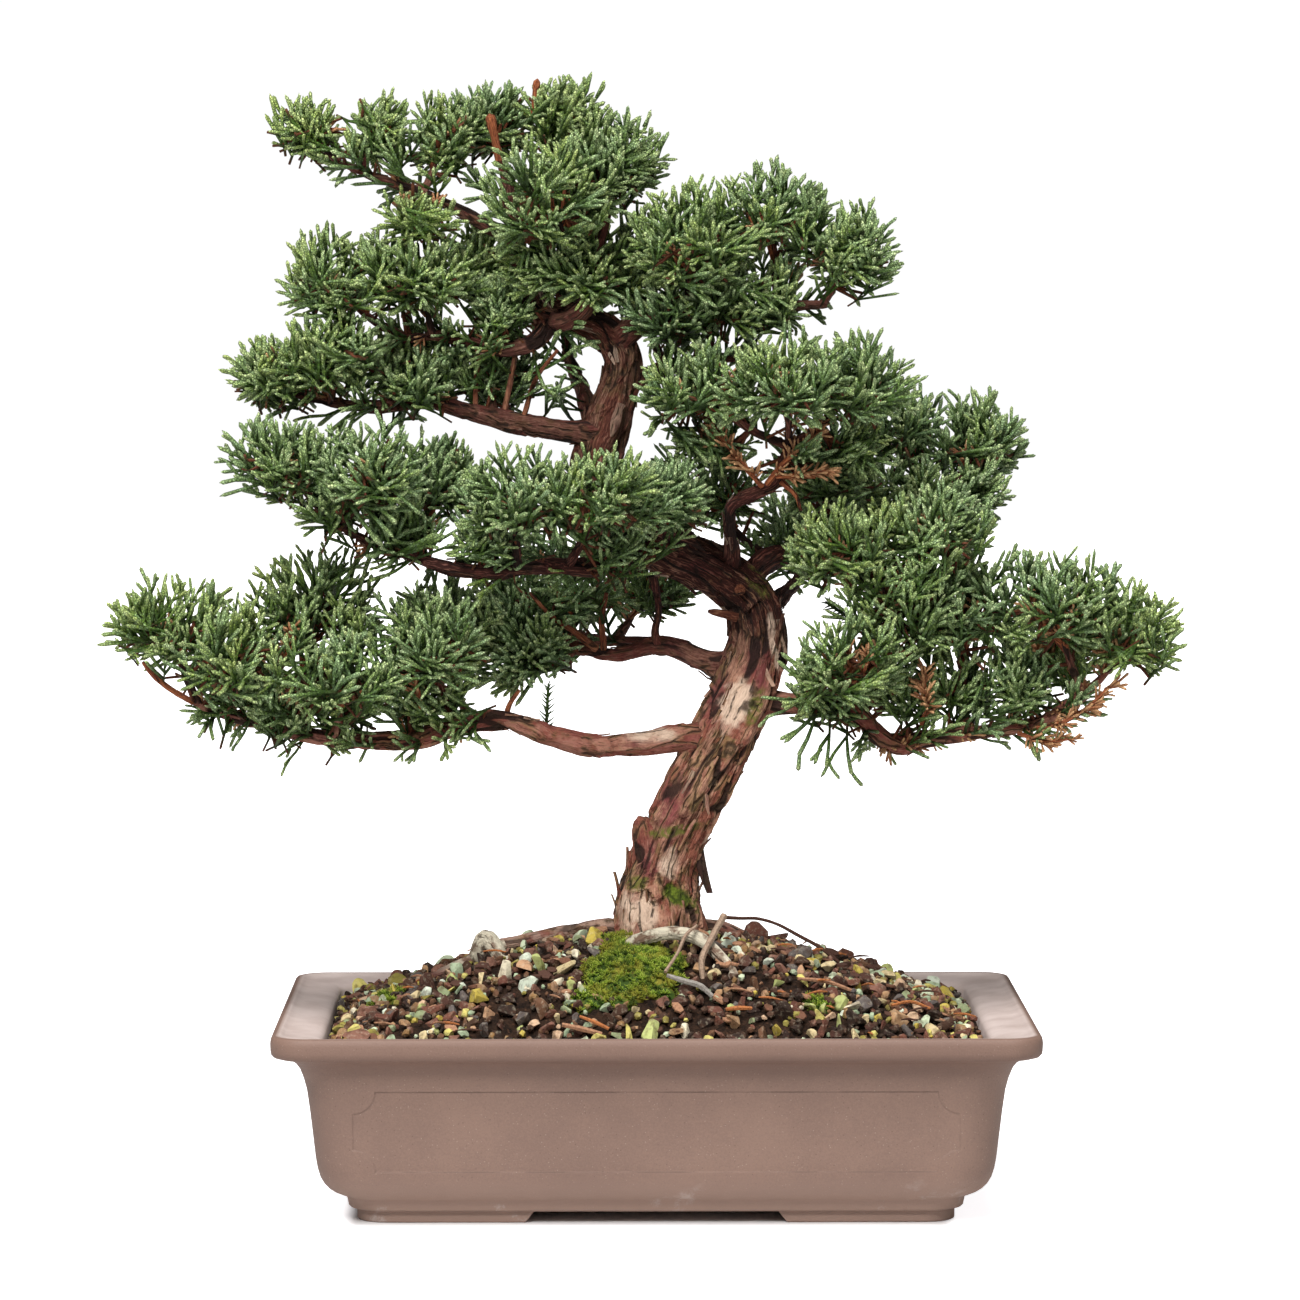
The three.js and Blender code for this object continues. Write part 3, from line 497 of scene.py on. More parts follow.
def bark_material():
    material, tree, shader = new_material("bark")
    place = millimetres(tree)
    along = add_node(tree, "ShaderNodeAttribute", attribute_name="grain").outputs["Vector"]
    wander = add_node(tree, "ShaderNodeTexNoise", {"Vector": along, "Scale": 0.07, "Detail": 3.0}).outputs[1]
    inputs = {0: wander, 1: (5, 5, 18), 2: along}
    warped = add_node(tree, "ShaderNodeVectorMath", inputs, operation="MULTIPLY_ADD").outputs[0]
    flaked = add_node(tree, "ShaderNodeMapping", {"Vector": warped, "Scale": (0.19, 0.19, 0.024)}).outputs[0]
    cells = {"Vector": flaked, "Scale": 1.0}
    flakes = add_node(tree, "ShaderNodeTexVoronoi", cells)
    edges = add_node(tree, "ShaderNodeTexVoronoi", cells, feature="DISTANCE_TO_EDGE")
    lot = add_node(tree, "ShaderNodeSeparateColor", {0: flakes.outputs["Color"]}).outputs[0]
    distance = edges.outputs["Distance"]
    broken = spread(tree, noise_value(tree, place, 0.16, 4.0), 0.42, 0.58)
    seam = times(tree, spread(tree, distance, 0.07, 0.01), broken)
    rim = times(tree, spread(tree, distance, 0.17, 0.08), broken)
    stretched = add_node(tree, "ShaderNodeMapping", {"Vector": warped, "Scale": (1.8, 1.8, 0.11)}).outputs[0]
    fibre = noise_value(tree, stretched, 1.0, 6.0, 0.62)
    plate, crack, pale, purple, green, olive, young, root = (
        read_attribute(tree, name) for name in BARK_VALUES)

    blotch = noise_value(tree, place, 0.13, 4.0, 0.6)
    share = maths(tree, "MULTIPLY_ADD", lot, 0.45, times(tree, plate, 0.35))
    share = maths(tree, "MULTIPLY_ADD", spread(tree, blotch, 0.3, 0.7), 0.25, share)
    colour = ramp(tree, share, BARK_COLOURS)
    # Light and dark fibre streaks: partly the bark's own streaks, partly painted highlight on the raised
    # fibres and painted shade between them
    colour = mix_colour(tree, spread(tree, fibre, 0.54, 0.72, 0.0, 0.65), colour, "D2A58C")
    colour = mix_colour(tree, spread(tree, fibre, 0.5, 0.32, 0.0, 0.9), colour, "361C14")
    colour = mix_colour(tree, times(tree, rim, 0.42), colour, "93804F")
    wine = times(tree, purple, spread(tree, fibre, 0.3, 0.6, 0.3, 0.9))
    wine = times(tree, wine, spread(tree, blotch, 0.35, 0.6, 0.3, 1.0))
    colour = mix_colour(tree, wine, colour, "8A4546")
    lichen = spread(tree, noise_value(tree, place, 0.1, 5.0, 0.65), 0.54, 0.68, 0.0, 0.3)
    colour = mix_colour(tree, lichen, colour, "6E6638")
    level = read_height(tree, place)
    # Painted shade from the crown, with darker, redder bark: the upper bend darkens, less on the light fibres
    above = spread(tree, level, *DARK_BEND, 0.0, 0.92)
    high = maths(tree, "SUBTRACT", above, spread(tree, level, *CLEAR_CROWN, 0.0, 0.27))
    high = times(tree, high, spread(tree, fibre, 0.62, 0.48, 0.62, 1.08))
    colour = mix_colour(tree, high, colour, "2E0F08")
    patchy = spread(tree, blotch, 0.38, 0.55, 0.4, 1.0)
    streak = times(tree, spread(tree, fibre, 0.3, 0.55, 0.55, 1.0), patchy)
    colour = mix_colour(tree, times(tree, pale, streak), colour, "DFC2AA")
    mottled = spread(tree, noise_value(tree, place, 0.5), 0.35, 0.6, 0.2, 1.0)
    colour = mix_colour(tree, times(tree, olive, mottled), colour, "6C6A30")

    worn = spread(tree, noise_value(tree, place, 0.16, 5.0, 0.6), 0.46, 0.62)
    dead = mix_colour(tree, worn, "DAD2BA", "75604F")
    dead = mix_colour(tree, spread(tree, level, *EARTHY_FOOT), dead, "6A4840")
    colour = mix_colour(tree, times(tree, root, 0.92), colour, dead)
    fresh = mix_colour(tree, spread(tree, fibre, 0.35, 0.65), "6A3220", "B0683E")
    colour = mix_colour(tree, young, colour, fresh)
    # Dark cracks and flake edges: partly the bark's own dark fissures, partly painted shade in them
    dark = maths(tree, "MAXIMUM", spread(tree, crack, 0.12, 0.5), times(tree, seam, 0.9))
    dark = times(tree, dark, spread(tree, root, 0.0, 1.0, 0.9, 0.1))
    colour = mix_colour(tree, dark, colour, "1C100B")
    algae = spread(tree, noise_value(tree, place, 0.45, 4.0), 0.4, 0.62)
    scar = mix_colour(tree, algae, "3C480E", "6A7A22")
    colour = mix_colour(tree, green, colour, scar)

    fine = noise_value(tree, place, 1.2, 3.0, 0.7)
    height = maths(tree, "MULTIPLY_ADD", fibre, 1.0, times(tree, fine, 0.3))
    height = maths(tree, "MULTIPLY_ADD", lot, 0.6, height)
    height = maths(tree, "MULTIPLY_ADD", seam, -0.9, height)
    finish_surface(tree, shader, colour, 0.78, height, 1.3 * MM, 0.25)
    return material


# Whips from the old wood at their foot to their new tips; the dark stops low on the whips are partly their
# older colour and partly painted shade deep in the pads
COLD_WHIPS = [
    (0.0, "6A3A22"), (0.1, "262E0C"), (0.32, "314819"), (0.6, "607F42"), (0.82, "A2BD84"), (1.0, "D4E0AA"),
]
WARM_WHIPS = [
    (0.0, "6A3A22"), (0.1, "32360E"), (0.32, "456A14"), (0.6, "7B973A"), (0.82, "B8CB72"), (1.0, "E0EE9C"),
]


def foliage_material():
    material, tree, shader = new_material("foliage")
    place = millimetres(tree)
    growth = read_attribute(tree, "growth")
    tone = read_attribute(tree, "tone")
    dry = read_attribute(tree, "dry")
    cold, warm = (ramp(tree, growth, stops) for stops in (COLD_WHIPS, WARM_WHIPS))
    colour = mix_colour(tree, tone, cold, warm)
    leafy = spread(tree, growth, 0.2, 0.5)
    bloom = spread(tree, noise_value(tree, place, 0.4, 3.0), 0.46, 0.66)
    bloom = times(tree, bloom, times(tree, leafy, 0.34))
    colour = mix_colour(tree, bloom, colour, "B0CEA4")
    cells = {"Vector": place, "Scale": 0.9}
    scales = add_node(tree, "ShaderNodeTexVoronoi", cells, feature="DISTANCE_TO_EDGE")
    seam = spread(tree, scales.outputs["Distance"], 0.17, 0.02)
    seam = times(tree, seam, times(tree, leafy, 0.75))
    colour = mix_colour(tree, seam, colour, "2C3F18")
    straw = mix_colour(tree, spread(tree, growth, 0.05, 0.5), "9C5A38", "D8A878")
    colour = mix_colour(tree, dry, colour, straw)
    height = spread(tree, scales.outputs["Distance"], 0.0, 0.25)
    finish_surface(tree, shader, colour, 0.6, height, 0.5 * MM, 0.3)
    return material


LITTER_COLOURS = [
    (0.0, "A8683C"), (0.25, "A0765A"), (0.5, "4E342A"), (0.7, "6E4A38"), (0.82, "9C8470"), (0.95, "8E8880"),
]


def litter_material():
    material, tree, shader = new_material("litter")
    place = millimetres(tree)
    lot = read_attribute(tree, "lot")
    body = ramp(tree, lot, LITTER_COLOURS, "CONSTANT")
    fibre = noise_value(tree, place, 1.2, 4.0)
    colour = mix_colour(tree, spread(tree, fibre, 0.4, 0.7, 0.0, 0.5), body, "3A281C")
    finish_surface(tree, shader, colour, 0.8, fibre, 0.3 * MM, 0.2)
    return material


# Mesh helpers

MERGE_DISTANCE = 1e-4
# Places worked out between two knots of a given route
FINE_STEPS = 12


def add_piece(name, bm, material, nodes=(), smooth=True):
    """Makes a finished piece of a mesh laid out in millimetres, in the place of its CAD nodes.

    Where smooth is off, each stamped part keeps the shading of its template."""
    bmesh.ops.transform(bm, matrix=TO_FRAME, verts=bm.verts)
    mesh = bpy.data.meshes.new(name)
    bm.to_mesh(mesh)
    bm.free()
    if smooth:
        mesh.shade_smooth()
    piece = bpy.data.objects.new(name, mesh)
    bpy.context.collection.objects.link(piece)
    mesh.materials.append(material)
    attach(piece, "root")
    if nodes:
        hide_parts(*nodes)
    return piece


def close_shape(bm):
    """Merges seams and poles, fills open ends and turns the faces outwards."""
    bmesh.ops.remove_doubles(bm, verts=bm.verts, dist=MERGE_DISTANCE)
    bmesh.ops.holes_fill(bm, edges=[edge for edge in bm.edges if edge.is_boundary], sides=0)
    bmesh.ops.recalc_face_normals(bm, faces=bm.faces)


def template_of(name, bm, smooth=True):
    """A mesh to stamp copies of."""
    mesh = bpy.data.meshes.new(name)
    bm.to_mesh(mesh)
    bm.free()
    if smooth:
        mesh.shade_smooth()
    return mesh


def stamp(bm, template, matrix, **values):
    """Adds a moved copy of a template, with one value of an attribute all over it."""
    copy = template.copy()
    copy.transform(matrix)
    for name, value in values.items():
        copy.attributes[name].data.foreach_set("value", [value] * len(copy.vertices))
    bm.from_mesh(copy)
    bpy.data.meshes.remove(copy)


def float_layers(bm, *names):
    """The layers that hold a number for each vertex, made where they are missing."""
    return [bm.verts.layers.float.get(name) or bm.verts.layers.float.new(name) for name in names]


def compass(angle, rise=0.0):
    """The way to one side, with a rise."""
    return Vector((math.cos(angle), math.sin(angle), rise))


def aimed(place, heading, size, roll_to=None, roll=0.0):
    """A matrix that stands a template's +Z along a heading, its +X turned towards roll_to."""
    z = heading.normalized()
    side = (roll_to or z.orthogonal()).copy()
    side -= z * side.dot(z)
    x = side.normalized() if side.length > 1e-4 else z.orthogonal().normalized()
    turned = Matrix((x, z.cross(x), z)).transposed().to_4x4()
    return Matrix.Translation(place) @ turned @ Matrix.Rotation(roll, 4, "Z") @ Matrix.Scale(size, 4)


def smooth_route(route, spacing):
    """Evenly spaced (x, y, z, radius) along a smooth curve through given ones."""
    knots = [Vector(row) for row in route]
    knots = [2 * knots[0] - knots[1], *knots, 2 * knots[-1] - knots[-2]]
    fine = []
    for p0, p1, p2, p3 in zip(knots, knots[1:], knots[2:], knots[3:]):
        t0 = 0.0
        t1 = t0 + (p1 - p0).xyz.length ** 0.5
        t2 = t1 + (p2 - p1).xyz.length ** 0.5
        t3 = t2 + (p3 - p2).xyz.length ** 0.5
        for i in range(FINE_STEPS):
            t = t1 + (t2 - t1) * i / FINE_STEPS
            a1 = p0.lerp(p1, (t - t0) / (t1 - t0))
            a2 = p1.lerp(p2, (t - t1) / (t2 - t1))
            a3 = p2.lerp(p3, (t - t2) / (t3 - t2))
            b1 = a1.lerp(a2, (t - t0) / (t2 - t0))
            b2 = a2.lerp(a3, (t - t1) / (t3 - t1))
            fine.append(b1.lerp(b2, (t - t1) / (t2 - t1)))
    fine.append(knots[-2])
    reach = [0.0]
    for a, b in zip(fine, fine[1:]):
        reach.append(reach[-1] + (b - a).xyz.length)
    count = max(2, round(reach[-1] / spacing))
    stations = []
    at = 0
    for i in range(count + 1):
        goal = reach[-1] * i / count
        while at < len(fine) - 2 and reach[at + 1] < goal:
            at += 1
        share = (goal - reach[at]) / max(1e-9, reach[at + 1] - reach[at])
        stations.append(fine[at].lerp(fine[at + 1], share))
    return stations


def carried_frames(stations):
    """A tangent, normal and binormal at each station, with no needless twist."""
    tangents = []
    for i in range(len(stations)):
        ahead = stations[min(i + 1, len(stations) - 1)]
        behind = stations[max(i - 1, 0)]
        tangents.append((ahead - behind).xyz.normalized())
    normal = tangents[0].orthogonal().normalized()
    frames = []
    for tangent in tangents:
        normal = (normal - tangent * normal.dot(tangent)).normalized()
        frames.append((tangent, normal.copy(), tangent.cross(normal)))
    return frames


def outward_at(carried, angle):
    """The way out of a stem's side at an angle round it."""
    _, normal, binormal = carried
    return normal * math.cos(angle) + binormal * math.sin(angle)


def bend_grid(bm, sides, stations, shape):
    """A grid rolled into a closed tube along stations. shape values and sizes each vertex."""
    steps = len(stations) - 1
    frames = carried_frames(stations)
    made = bmesh.ops.create_grid(bm, x_segments=sides, y_segments=steps, size=0.5)["verts"]
    for vert in made:
        angle = (vert.co.x + 0.5) * FULL_TURN
        step = round((vert.co.y + 0.5) * steps)
        if angle > FULL_TURN - MERGE_DISTANCE:
            angle = 0.0
        outward = outward_at(frames[step], angle)
        radius = shape(vert, step, stations[step], outward, angle)
        vert.co = stations[step].xyz + outward * radius
    seam = [vert for vert in made if vert.is_boundary]
    bmesh.ops.remove_doubles(bm, verts=seam, dist=1e-5)
    open_edges = {edge for vert in made if vert.is_valid for edge in vert.link_edges if edge.is_boundary}
    bmesh.ops.holes_fill(bm, edges=list(open_edges), sides=0)


# Pot: rows of height, half width and corner radius, up the outside and down the hollow

POT_PROFILE = [
    (4.7, 122.6, 14), (5.2, 124.3, 15), (6, 125, 15), (9.2, 125.6, 15), (10, 126.4, 15.5),
    (10.8, 128.2, 16), (12, 130.5, 16.4), (13.6, 132.6, 16.8), (15.8, 134.5, 17.2), (18.6, 136, 17.6),
    (22, 137, 17.8), (25, 137.6, 18), (28, 138, 18), (37, 139, 18), (46, 140, 18), (55, 141.2, 18),
    (60, 142.4, 17.5), (64, 143.8, 17), (66.6, 145.4, 16), (68.2, 147.4, 15.5), (69, 149.4, 15),
    (69.5, 151.8, 14.5), (70.2, 153.6, 14), (71.4, 154.6, 14), (73, 154.9, 14), (76, 155, 14),
    (77.9, 154.7, 13.6), (78.7, 154, 13), (79, 153, 12.6),
]
HOLLOW_PROFILE = [
    (78.9, 151.4, 12.5), (78.4, 150.5, 12.4), (77.9, 149.6, 12.4), (77.6, 147.8, 12.4), (77.2, 143, 12.2),
    (76.7, 138.6, 12), (76.1, 136.6, 12), (75.2, 135.3, 12), (74, 134.6, 12), (58, 133.2, 13),
    (19, 128, 13), (12.2, 122.5, 12), (11, 121, 12),
]
CORNER_STEPS = 12
SIDE_STEPS = 6
# Feet, measured from the pot's middle: the inner corner of each, its far sides, and where its open ends stand
FOOT_INNER = (103, 60.5)
FOOT_OUTER = 121.6
FOOT_GAP_X = 53.2
FOOT_GAP_Y = 30.2
FOOT_SLANT = 4
FOOT_TOP = 4.9
FOOT_CORNER = 13
FOOT_BEVEL = 0.7
ROUNDING = {"profile": 0.5, "affect": "EDGES", "material": -1}
DRAIN_X = 66
DRAIN_RADIUS = 11
DRAIN_SIDES = 24
POT_EDGE_ANGLE = 50


def rounded_place(i, row):
    """The place of vertex i of a rounded rectangle: each quarter has a corner, then a straight side."""
    z, half_width, corner = row
    half_depth = half_width - SIDE_DIFFERENCE
    per_quarter = CORNER_STEPS + SIDE_STEPS
    quarter, step = divmod(i, per_quarter)
    sx, sy = [(1, 1), (-1, 1), (-1, -1), (1, -1)][quarter]
    angle = (quarter + min(step, CORNER_STEPS) / CORNER_STEPS) * math.pi / 2
    x = sx * (half_width - corner) + corner * math.cos(angle)
    y = sy * (half_depth - corner) + corner * math.sin(angle)
    share = max(0, step - CORNER_STEPS) / SIDE_STEPS
    if quarter % 2 == 0:
        x -= 2 * sx * (half_width - corner) * share
    else:
        y -= 2 * sy * (half_depth - corner) * share
    return Vector((x, y, z))


def dust_at(row):
    """How much dust lies on the pot: none outside, most on the inner slope of the rim."""
    if row not in HOLLOW_PROFILE:
        return 0.0
    return 0.9 if row[0] > 60 else 0.3


def sweep_profile(bm, profile):
    """Extrudes a rounded ring through the rows of a profile. Returns the first ring's edges."""
    dust = bm.verts.layers.float["dust"]
    count = 4 * (CORNER_STEPS + SIDE_STEPS)
    ring = bmesh.ops.create_circle(bm, segments=count, radius=1)["verts"]
    first = edges = ring_edges(ring)
    for number, row in enumerate(profile):
        if number:
            grown = bmesh.ops.extrude_edge_only(bm, edges=edges)["geom"]
            edges = [item for item in grown if isinstance(item, bmesh.types.BMEdge)]
            ring = ordered([item for item in grown if isinstance(item, bmesh.types.BMVert)], count)
        for i, vert in enumerate(ring):
            vert.co = rounded_place(i, row)
            vert[dust] = dust_at(row)
    return first


def ring_edges(ring):
    return list({edge for vert in ring for edge in vert.link_edges})


def ordered(verts, count):
    """A ring's vertices anticlockwise from the first corner's start, by walking its edges."""
    start = max(verts, key=lambda vert: (round(vert.co.x, 3), -abs(vert.co.y - start_height(verts))))
    walk = [start]
    group = set(verts)
    while len(walk) < count:
        near = [edge.other_vert(walk[-1]) for edge in walk[-1].link_edges]
        near = [vert for vert in near if vert in group and vert not in walk[-2:]]
        if len(walk) == 1:
            near.sort(key=lambda vert: -vert.co.y)
        walk.append(near[0])
    return walk


def start_height(verts):
    """How far back the first corner starts, on the right-hand side."""
    right = max(vert.co.x for vert in verts)
    return max(vert.co.y for vert in verts if vert.co.x > right - 1e-3)


def make_pot(material):
    bm = bmesh.new()
    float_layers(bm, "dust")
    bottom = sweep_profile(bm, POT_PROFILE + HOLLOW_PROFILE)
    floor = [edge for edge in bm.edges if edge.is_boundary and edge.verts[0].co.z > 10]
    for height, edges in ((POT_PROFILE[0][0], bottom), (HOLLOW_PROFILE[-1][0], floor)):
        drains = []
        for side in (-1, 1):
            place = Matrix.Translation((side * DRAIN_X, 0, height))
            hole = bmesh.ops.create_circle(bm, segments=DRAIN_SIDES, radius=DRAIN_RADIUS, matrix=place)
            drains += ring_edges(hole["verts"])
        bmesh.ops.triangle_fill(bm, use_beauty=True, edges=edges + drains)
    for side in (-1, 1):
        near = [edge for edge in bm.edges if edge.is_boundary and edge.verts[0].co.x * side > 0]
        bmesh.ops.bridge_loops(bm, edges=near)
    add_feet(bm)
    bmesh.ops.recalc_face_normals(bm, faces=bm.faces)
    pot = add_piece("pot_body", bm, material, ["pot"])
    pot.data.set_sharp_from_angle(angle=math.radians(POT_EDGE_ANGLE))


def add_feet(bm):
    """Four corner feet, each an L in plan whose open ends slant back under the pot."""
    for sx, sy in ((1, 1), (-1, 1), (-1, -1), (1, -1)):
        foot = bmesh.new()
        xs = (FOOT_GAP_X, FOOT_INNER[0], FOOT_OUTER)
        ys = (FOOT_GAP_Y, FOOT_INNER[1], FOOT_OUTER - SIDE_DIFFERENCE)
        grid = bmesh.ops.create_grid(foot, x_segments=2, y_segments=2, size=1)["verts"]
        for vert in grid:
            vert.co = (xs[round(vert.co.x) + 1], ys[round(vert.co.y) + 1], 0)
        inner = min(foot.faces, key=lambda face: face.calc_center_median().length)
        bmesh.ops.delete(foot, geom=[inner], context="FACES")
        risen = bmesh.ops.extrude_face_region(foot, geom=list(foot.faces))["geom"]
        for vert in (item for item in risen if isinstance(item, bmesh.types.BMVert)):
            slant_x = FOOT_SLANT if vert.co.x < FOOT_GAP_X + 1 else 0
            slant_y = FOOT_SLANT if vert.co.y < FOOT_GAP_Y + 1 else 0
            vert.co = (vert.co.x - slant_x, vert.co.y - slant_y, FOOT_TOP)
        far = [edge for edge in foot.edges if min(vert.co.x for vert in edge.verts) > FOOT_OUTER - 1
               and min(vert.co.y for vert in edge.verts) > FOOT_OUTER - SIDE_DIFFERENCE - 1]
        bmesh.ops.bevel(foot, geom=far, offset=FOOT_CORNER, segments=10, **ROUNDING)
        low = [edge for edge in foot.edges if max(vert.co.z for vert in edge.verts) < 0.1 and edge.is_manifold
               and edge.calc_face_angle() > 0.5]
        bmesh.ops.bevel(foot, geom=low, offset=FOOT_BEVEL, segments=2, **ROUNDING)
        bmesh.ops.scale(foot, vec=(sx, sy, 1), verts=foot.verts)
        bmesh.ops.recalc_face_normals(foot, faces=foot.faces)
        mesh = template_of("foot", foot)
        bm.from_mesh(mesh)
        bpy.data.meshes.remove(mesh)


# Soil: a mound in the pot's hollow, under loose grains

SOIL_EDGE = 73
MOUND_HEIGHT = 36.5
MOUND_HALF_WIDTH, MOUND_HALF_DEPTH = 134, 91
SOIL_HALF_WIDTH = 134.2
SOIL_HALF_DEPTH = 91.7
SOIL_CORNER = 12
SOIL_FLOOR = 11.4
# How far the bed narrows to the pot's floor, and how deep its crumbly top lies under the grains
SOIL_NARROWS = (0.905, 0.87)
BED_DEPTH = 2.2
CRUMB_HEIGHT = 1.6
MOSS_X, MOSS_Y = -8, -47
MOSS_HALF_WIDTH, MOSS_HALF_DEPTH = 23, 25
MOSS_HEIGHT = 5.5
TRUNK_CLEAR = 17
# Grains are a unit across before they are stamped: how deep their flats are cut, and how long they are
FLAT_DEPTHS = (0.22, 0.37)
GRAIN_LENGTH = 1.3
GRAIN_SMOOTHING = 4
# Rounds of grains: count, least and greatest size, and the templates that they take
GRIT_ROUNDS = ((170, 7, 10, "coarse"), (2300, 4.0, 6.6, "coarse"), (2300, 1.8, 3.8, "fine"))
COARSE_SIZE = 4
CLOSEST = 0.33
# Side of the squares that grains are sorted into, to find the near ones
SQUARE = 10
CRUMB_SHARE = 0.12
PUMICE_SHARE = 0.62


def mound_height(x, y):
    u = min(1, abs(x) / MOUND_HALF_WIDTH)
    v = min(1, abs(y) / MOUND_HALF_DEPTH)
    return SOIL_EDGE + MOUND_HEIGHT * (1 - u ** 2) * (1 - v ** 2)


def mound_normal(x, y):
    slope_x = (mound_height(x + 1, y) - mound_height(x - 1, y)) / 2
    slope_y = (mound_height(x, y + 1) - mound_height(x, y - 1)) / 2
    return Vector((-slope_x, -slope_y, 1)).normalized()


def inside_corners(x, y, inset):
    """The point, or the nearest one inside the pot's rounded hollow."""
    half_x, half_y = SOIL_HALF_WIDTH - inset, SOIL_HALF_DEPTH - inset
    over_x = abs(x) - (half_x - SOIL_CORNER)
    over_y = abs(y) - (half_y - SOIL_CORNER)
    if over_x > 0 and over_y > 0:
        reach = math.hypot(over_x, over_y)
        if reach > SOIL_CORNER:
            x = math.copysign(half_x - SOIL_CORNER + over_x * SOIL_CORNER / reach, x)
            y = math.copysign(half_y - SOIL_CORNER + over_y * SOIL_CORNER / reach, y)
    return x, y


def make_soil_bed(material):
    bm = bmesh.new()
    grid = bmesh.ops.create_grid(bm, x_segments=150, y_segments=104, size=1)["verts"]
    rim = [edge for edge in bm.edges if edge.is_boundary]
    for vert in grid:
        x, y = inside_corners(vert.co.x * SOIL_HALF_WIDTH, vert.co.y * SOIL_HALF_DEPTH, 0.3)
        crumbs = noise.fractal(Vector((x, y, 0)) * 0.28, 0.8, 2.2, 4)
        vert.co = (x, y, mound_height(x, y) - BED_DEPTH + CRUMB_HEIGHT * crumbs)
    wall = bmesh.ops.extrude_edge_only(bm, edges=rim)["geom"]
    for vert in (item for item in wall if isinstance(item, bmesh.types.BMVert)):
        vert.co = (vert.co.x * SOIL_NARROWS[0], vert.co.y * SOIL_NARROWS[1], SOIL_FLOOR)
    close_shape(bm)
    add_piece("soil_bed", bm, material, ["soil"])


def random_direction(rng):
    return Vector((rng.gauss(0, 1), rng.gauss(0, 1), rng.gauss(0, 1)))


def stone_template(name, rng, cuts, subdivisions):
    """A grain of grit: a ball with flats cut at random."""
    bm = bmesh.new()
    float_layers(bm, "lot")
    bmesh.ops.create_icosphere(bm, subdivisions=subdivisions, radius=0.5)
    for _ in range(cuts):
        normal = random_direction(rng).normalized()
        flat = normal * rng.uniform(*FLAT_DEPTHS)
        everything = list(bm.verts) + list(bm.edges) + list(bm.faces)
        bmesh.ops.bisect_plane(bm, geom=everything, plane_co=flat, plane_no=normal, clear_outer=True)
    bmesh.ops.delete(bm, geom=list(bm.edges), context="EDGES_FACES")
    bmesh.ops.convex_hull(bm, input=list(bm.verts))
    bmesh.ops.delete(bm, geom=[vert for vert in bm.verts if not vert.link_faces], context="VERTS")
    limit = math.radians(GRAIN_SMOOTHING)
    bmesh.ops.dissolve_limit(bm, angle_limit=limit, verts=list(bm.verts), edges=list(bm.edges))
    sizes = (GRAIN_LENGTH, rng.uniform(0.85, 1.15), rng.uniform(0.7, 1.0))
    bmesh.ops.scale(bm, vec=sizes, verts=bm.verts)
    bmesh.ops.recalc_face_normals(bm, faces=bm.faces)
    return template_of(name, bm)


def free_of_plants(x, y, margin):
    """Whether a grain there lies clear of the trunk's foot and the moss."""
    if math.hypot(x - 1, y) < TRUNK_CLEAR + margin:
        return False
    across = (x - MOSS_X) / (MOSS_HALF_WIDTH - 1 + margin)
    back = (y - MOSS_Y) / (MOSS_HALF_DEPTH - 1 + margin)
    return math.hypot(across, back) > 0.93


def scatter_grit(materials):
    rng = random.Random(17)
    templates = {
        "coarse": [stone_template("coarse_grain_%d" % i, rng, 9, 2) for i in range(16)],
        "fine": [stone_template("fine_grain_%d" % i, rng, 1, 1) for i in range(6)],
    }
    meshes = {kind: bmesh.new() for kind in GRIT_COLOURS}
    for bm in meshes.values():
        float_layers(bm, "lot")
    placed = {}
    for count, low, high, fineness in GRIT_ROUNDS:
        for _ in range(count):
            size = rng.uniform(low, high)
            inset = size * 0.5 + 0.4
            x = rng.uniform(-1, 1) * (SOIL_HALF_WIDTH - inset)
            y = rng.uniform(-1, 1) * (SOIL_HALF_DEPTH - inset)
            x, y = inside_corners(x, y, inset)
            if not free_of_plants(x, y, size * 0.4):
                continue
            if size > COARSE_SIZE and crowded(placed, x, y, size):
                continue
            placed.setdefault((round(x / SQUARE), round(y / SQUARE)), []).append((x, y, size))
            centre = 1 - min(1, math.hypot(x / 70, y / 60))
            kind = pick_kind(rng, size, centre)
            lift = rng.uniform(-0.1, 0.28) * size if size > COARSE_SIZE else rng.uniform(-0.3, 0.5) * size
            axis = random_direction(rng)
            place = Vector((x, y, mound_height(x, y) - 0.8 + lift))
            template = rng.choice(templates[fineness])
            matrix = aimed(place, axis, size, roll=rng.uniform(0, 6.3))
            stamp(meshes[kind], template, matrix, lot=rng.random())
    for kind, bm in meshes.items():
        grit = add_piece("grit_" + kind, bm, materials[kind], smooth=False)
        grit.data.set_sharp_from_angle(angle=math.radians(GRIT_EDGE_ANGLE))


def crowded(placed, x, y, size):
    """Whether a coarse grain would lie mostly inside another."""
    column, row = round(x / SQUARE), round(y / SQUARE)
    near = [placed.get((column + i, row + j), ()) for i in (-1, 0, 1) for j in (-1, 0, 1)]
    return any(math.hypot(x - other_x, y - other_y) < CLOSEST * (size + other)
               for square in near for other_x, other_y, other in square)


def pick_kind(rng, size, centre):
    """The kind of one grain. Lava is commonest, and more so near the trunk."""
    lot = rng.random()
    if size < COARSE_SIZE:
        return "crumb" if lot < 0.72 else rng.choice(["pumice", "lava", "zeolite"])
    lava_share = 0.42 + 0.3 * centre
    if lot < lava_share:
        return "lava"
    lot -= lava_share + CRUMB_SHARE
    if lot < 0:
        return "crumb"
    return "pumice" if lot < PUMICE_SHARE * (1 - CRUMB_SHARE - lava_share) else "zeolite"


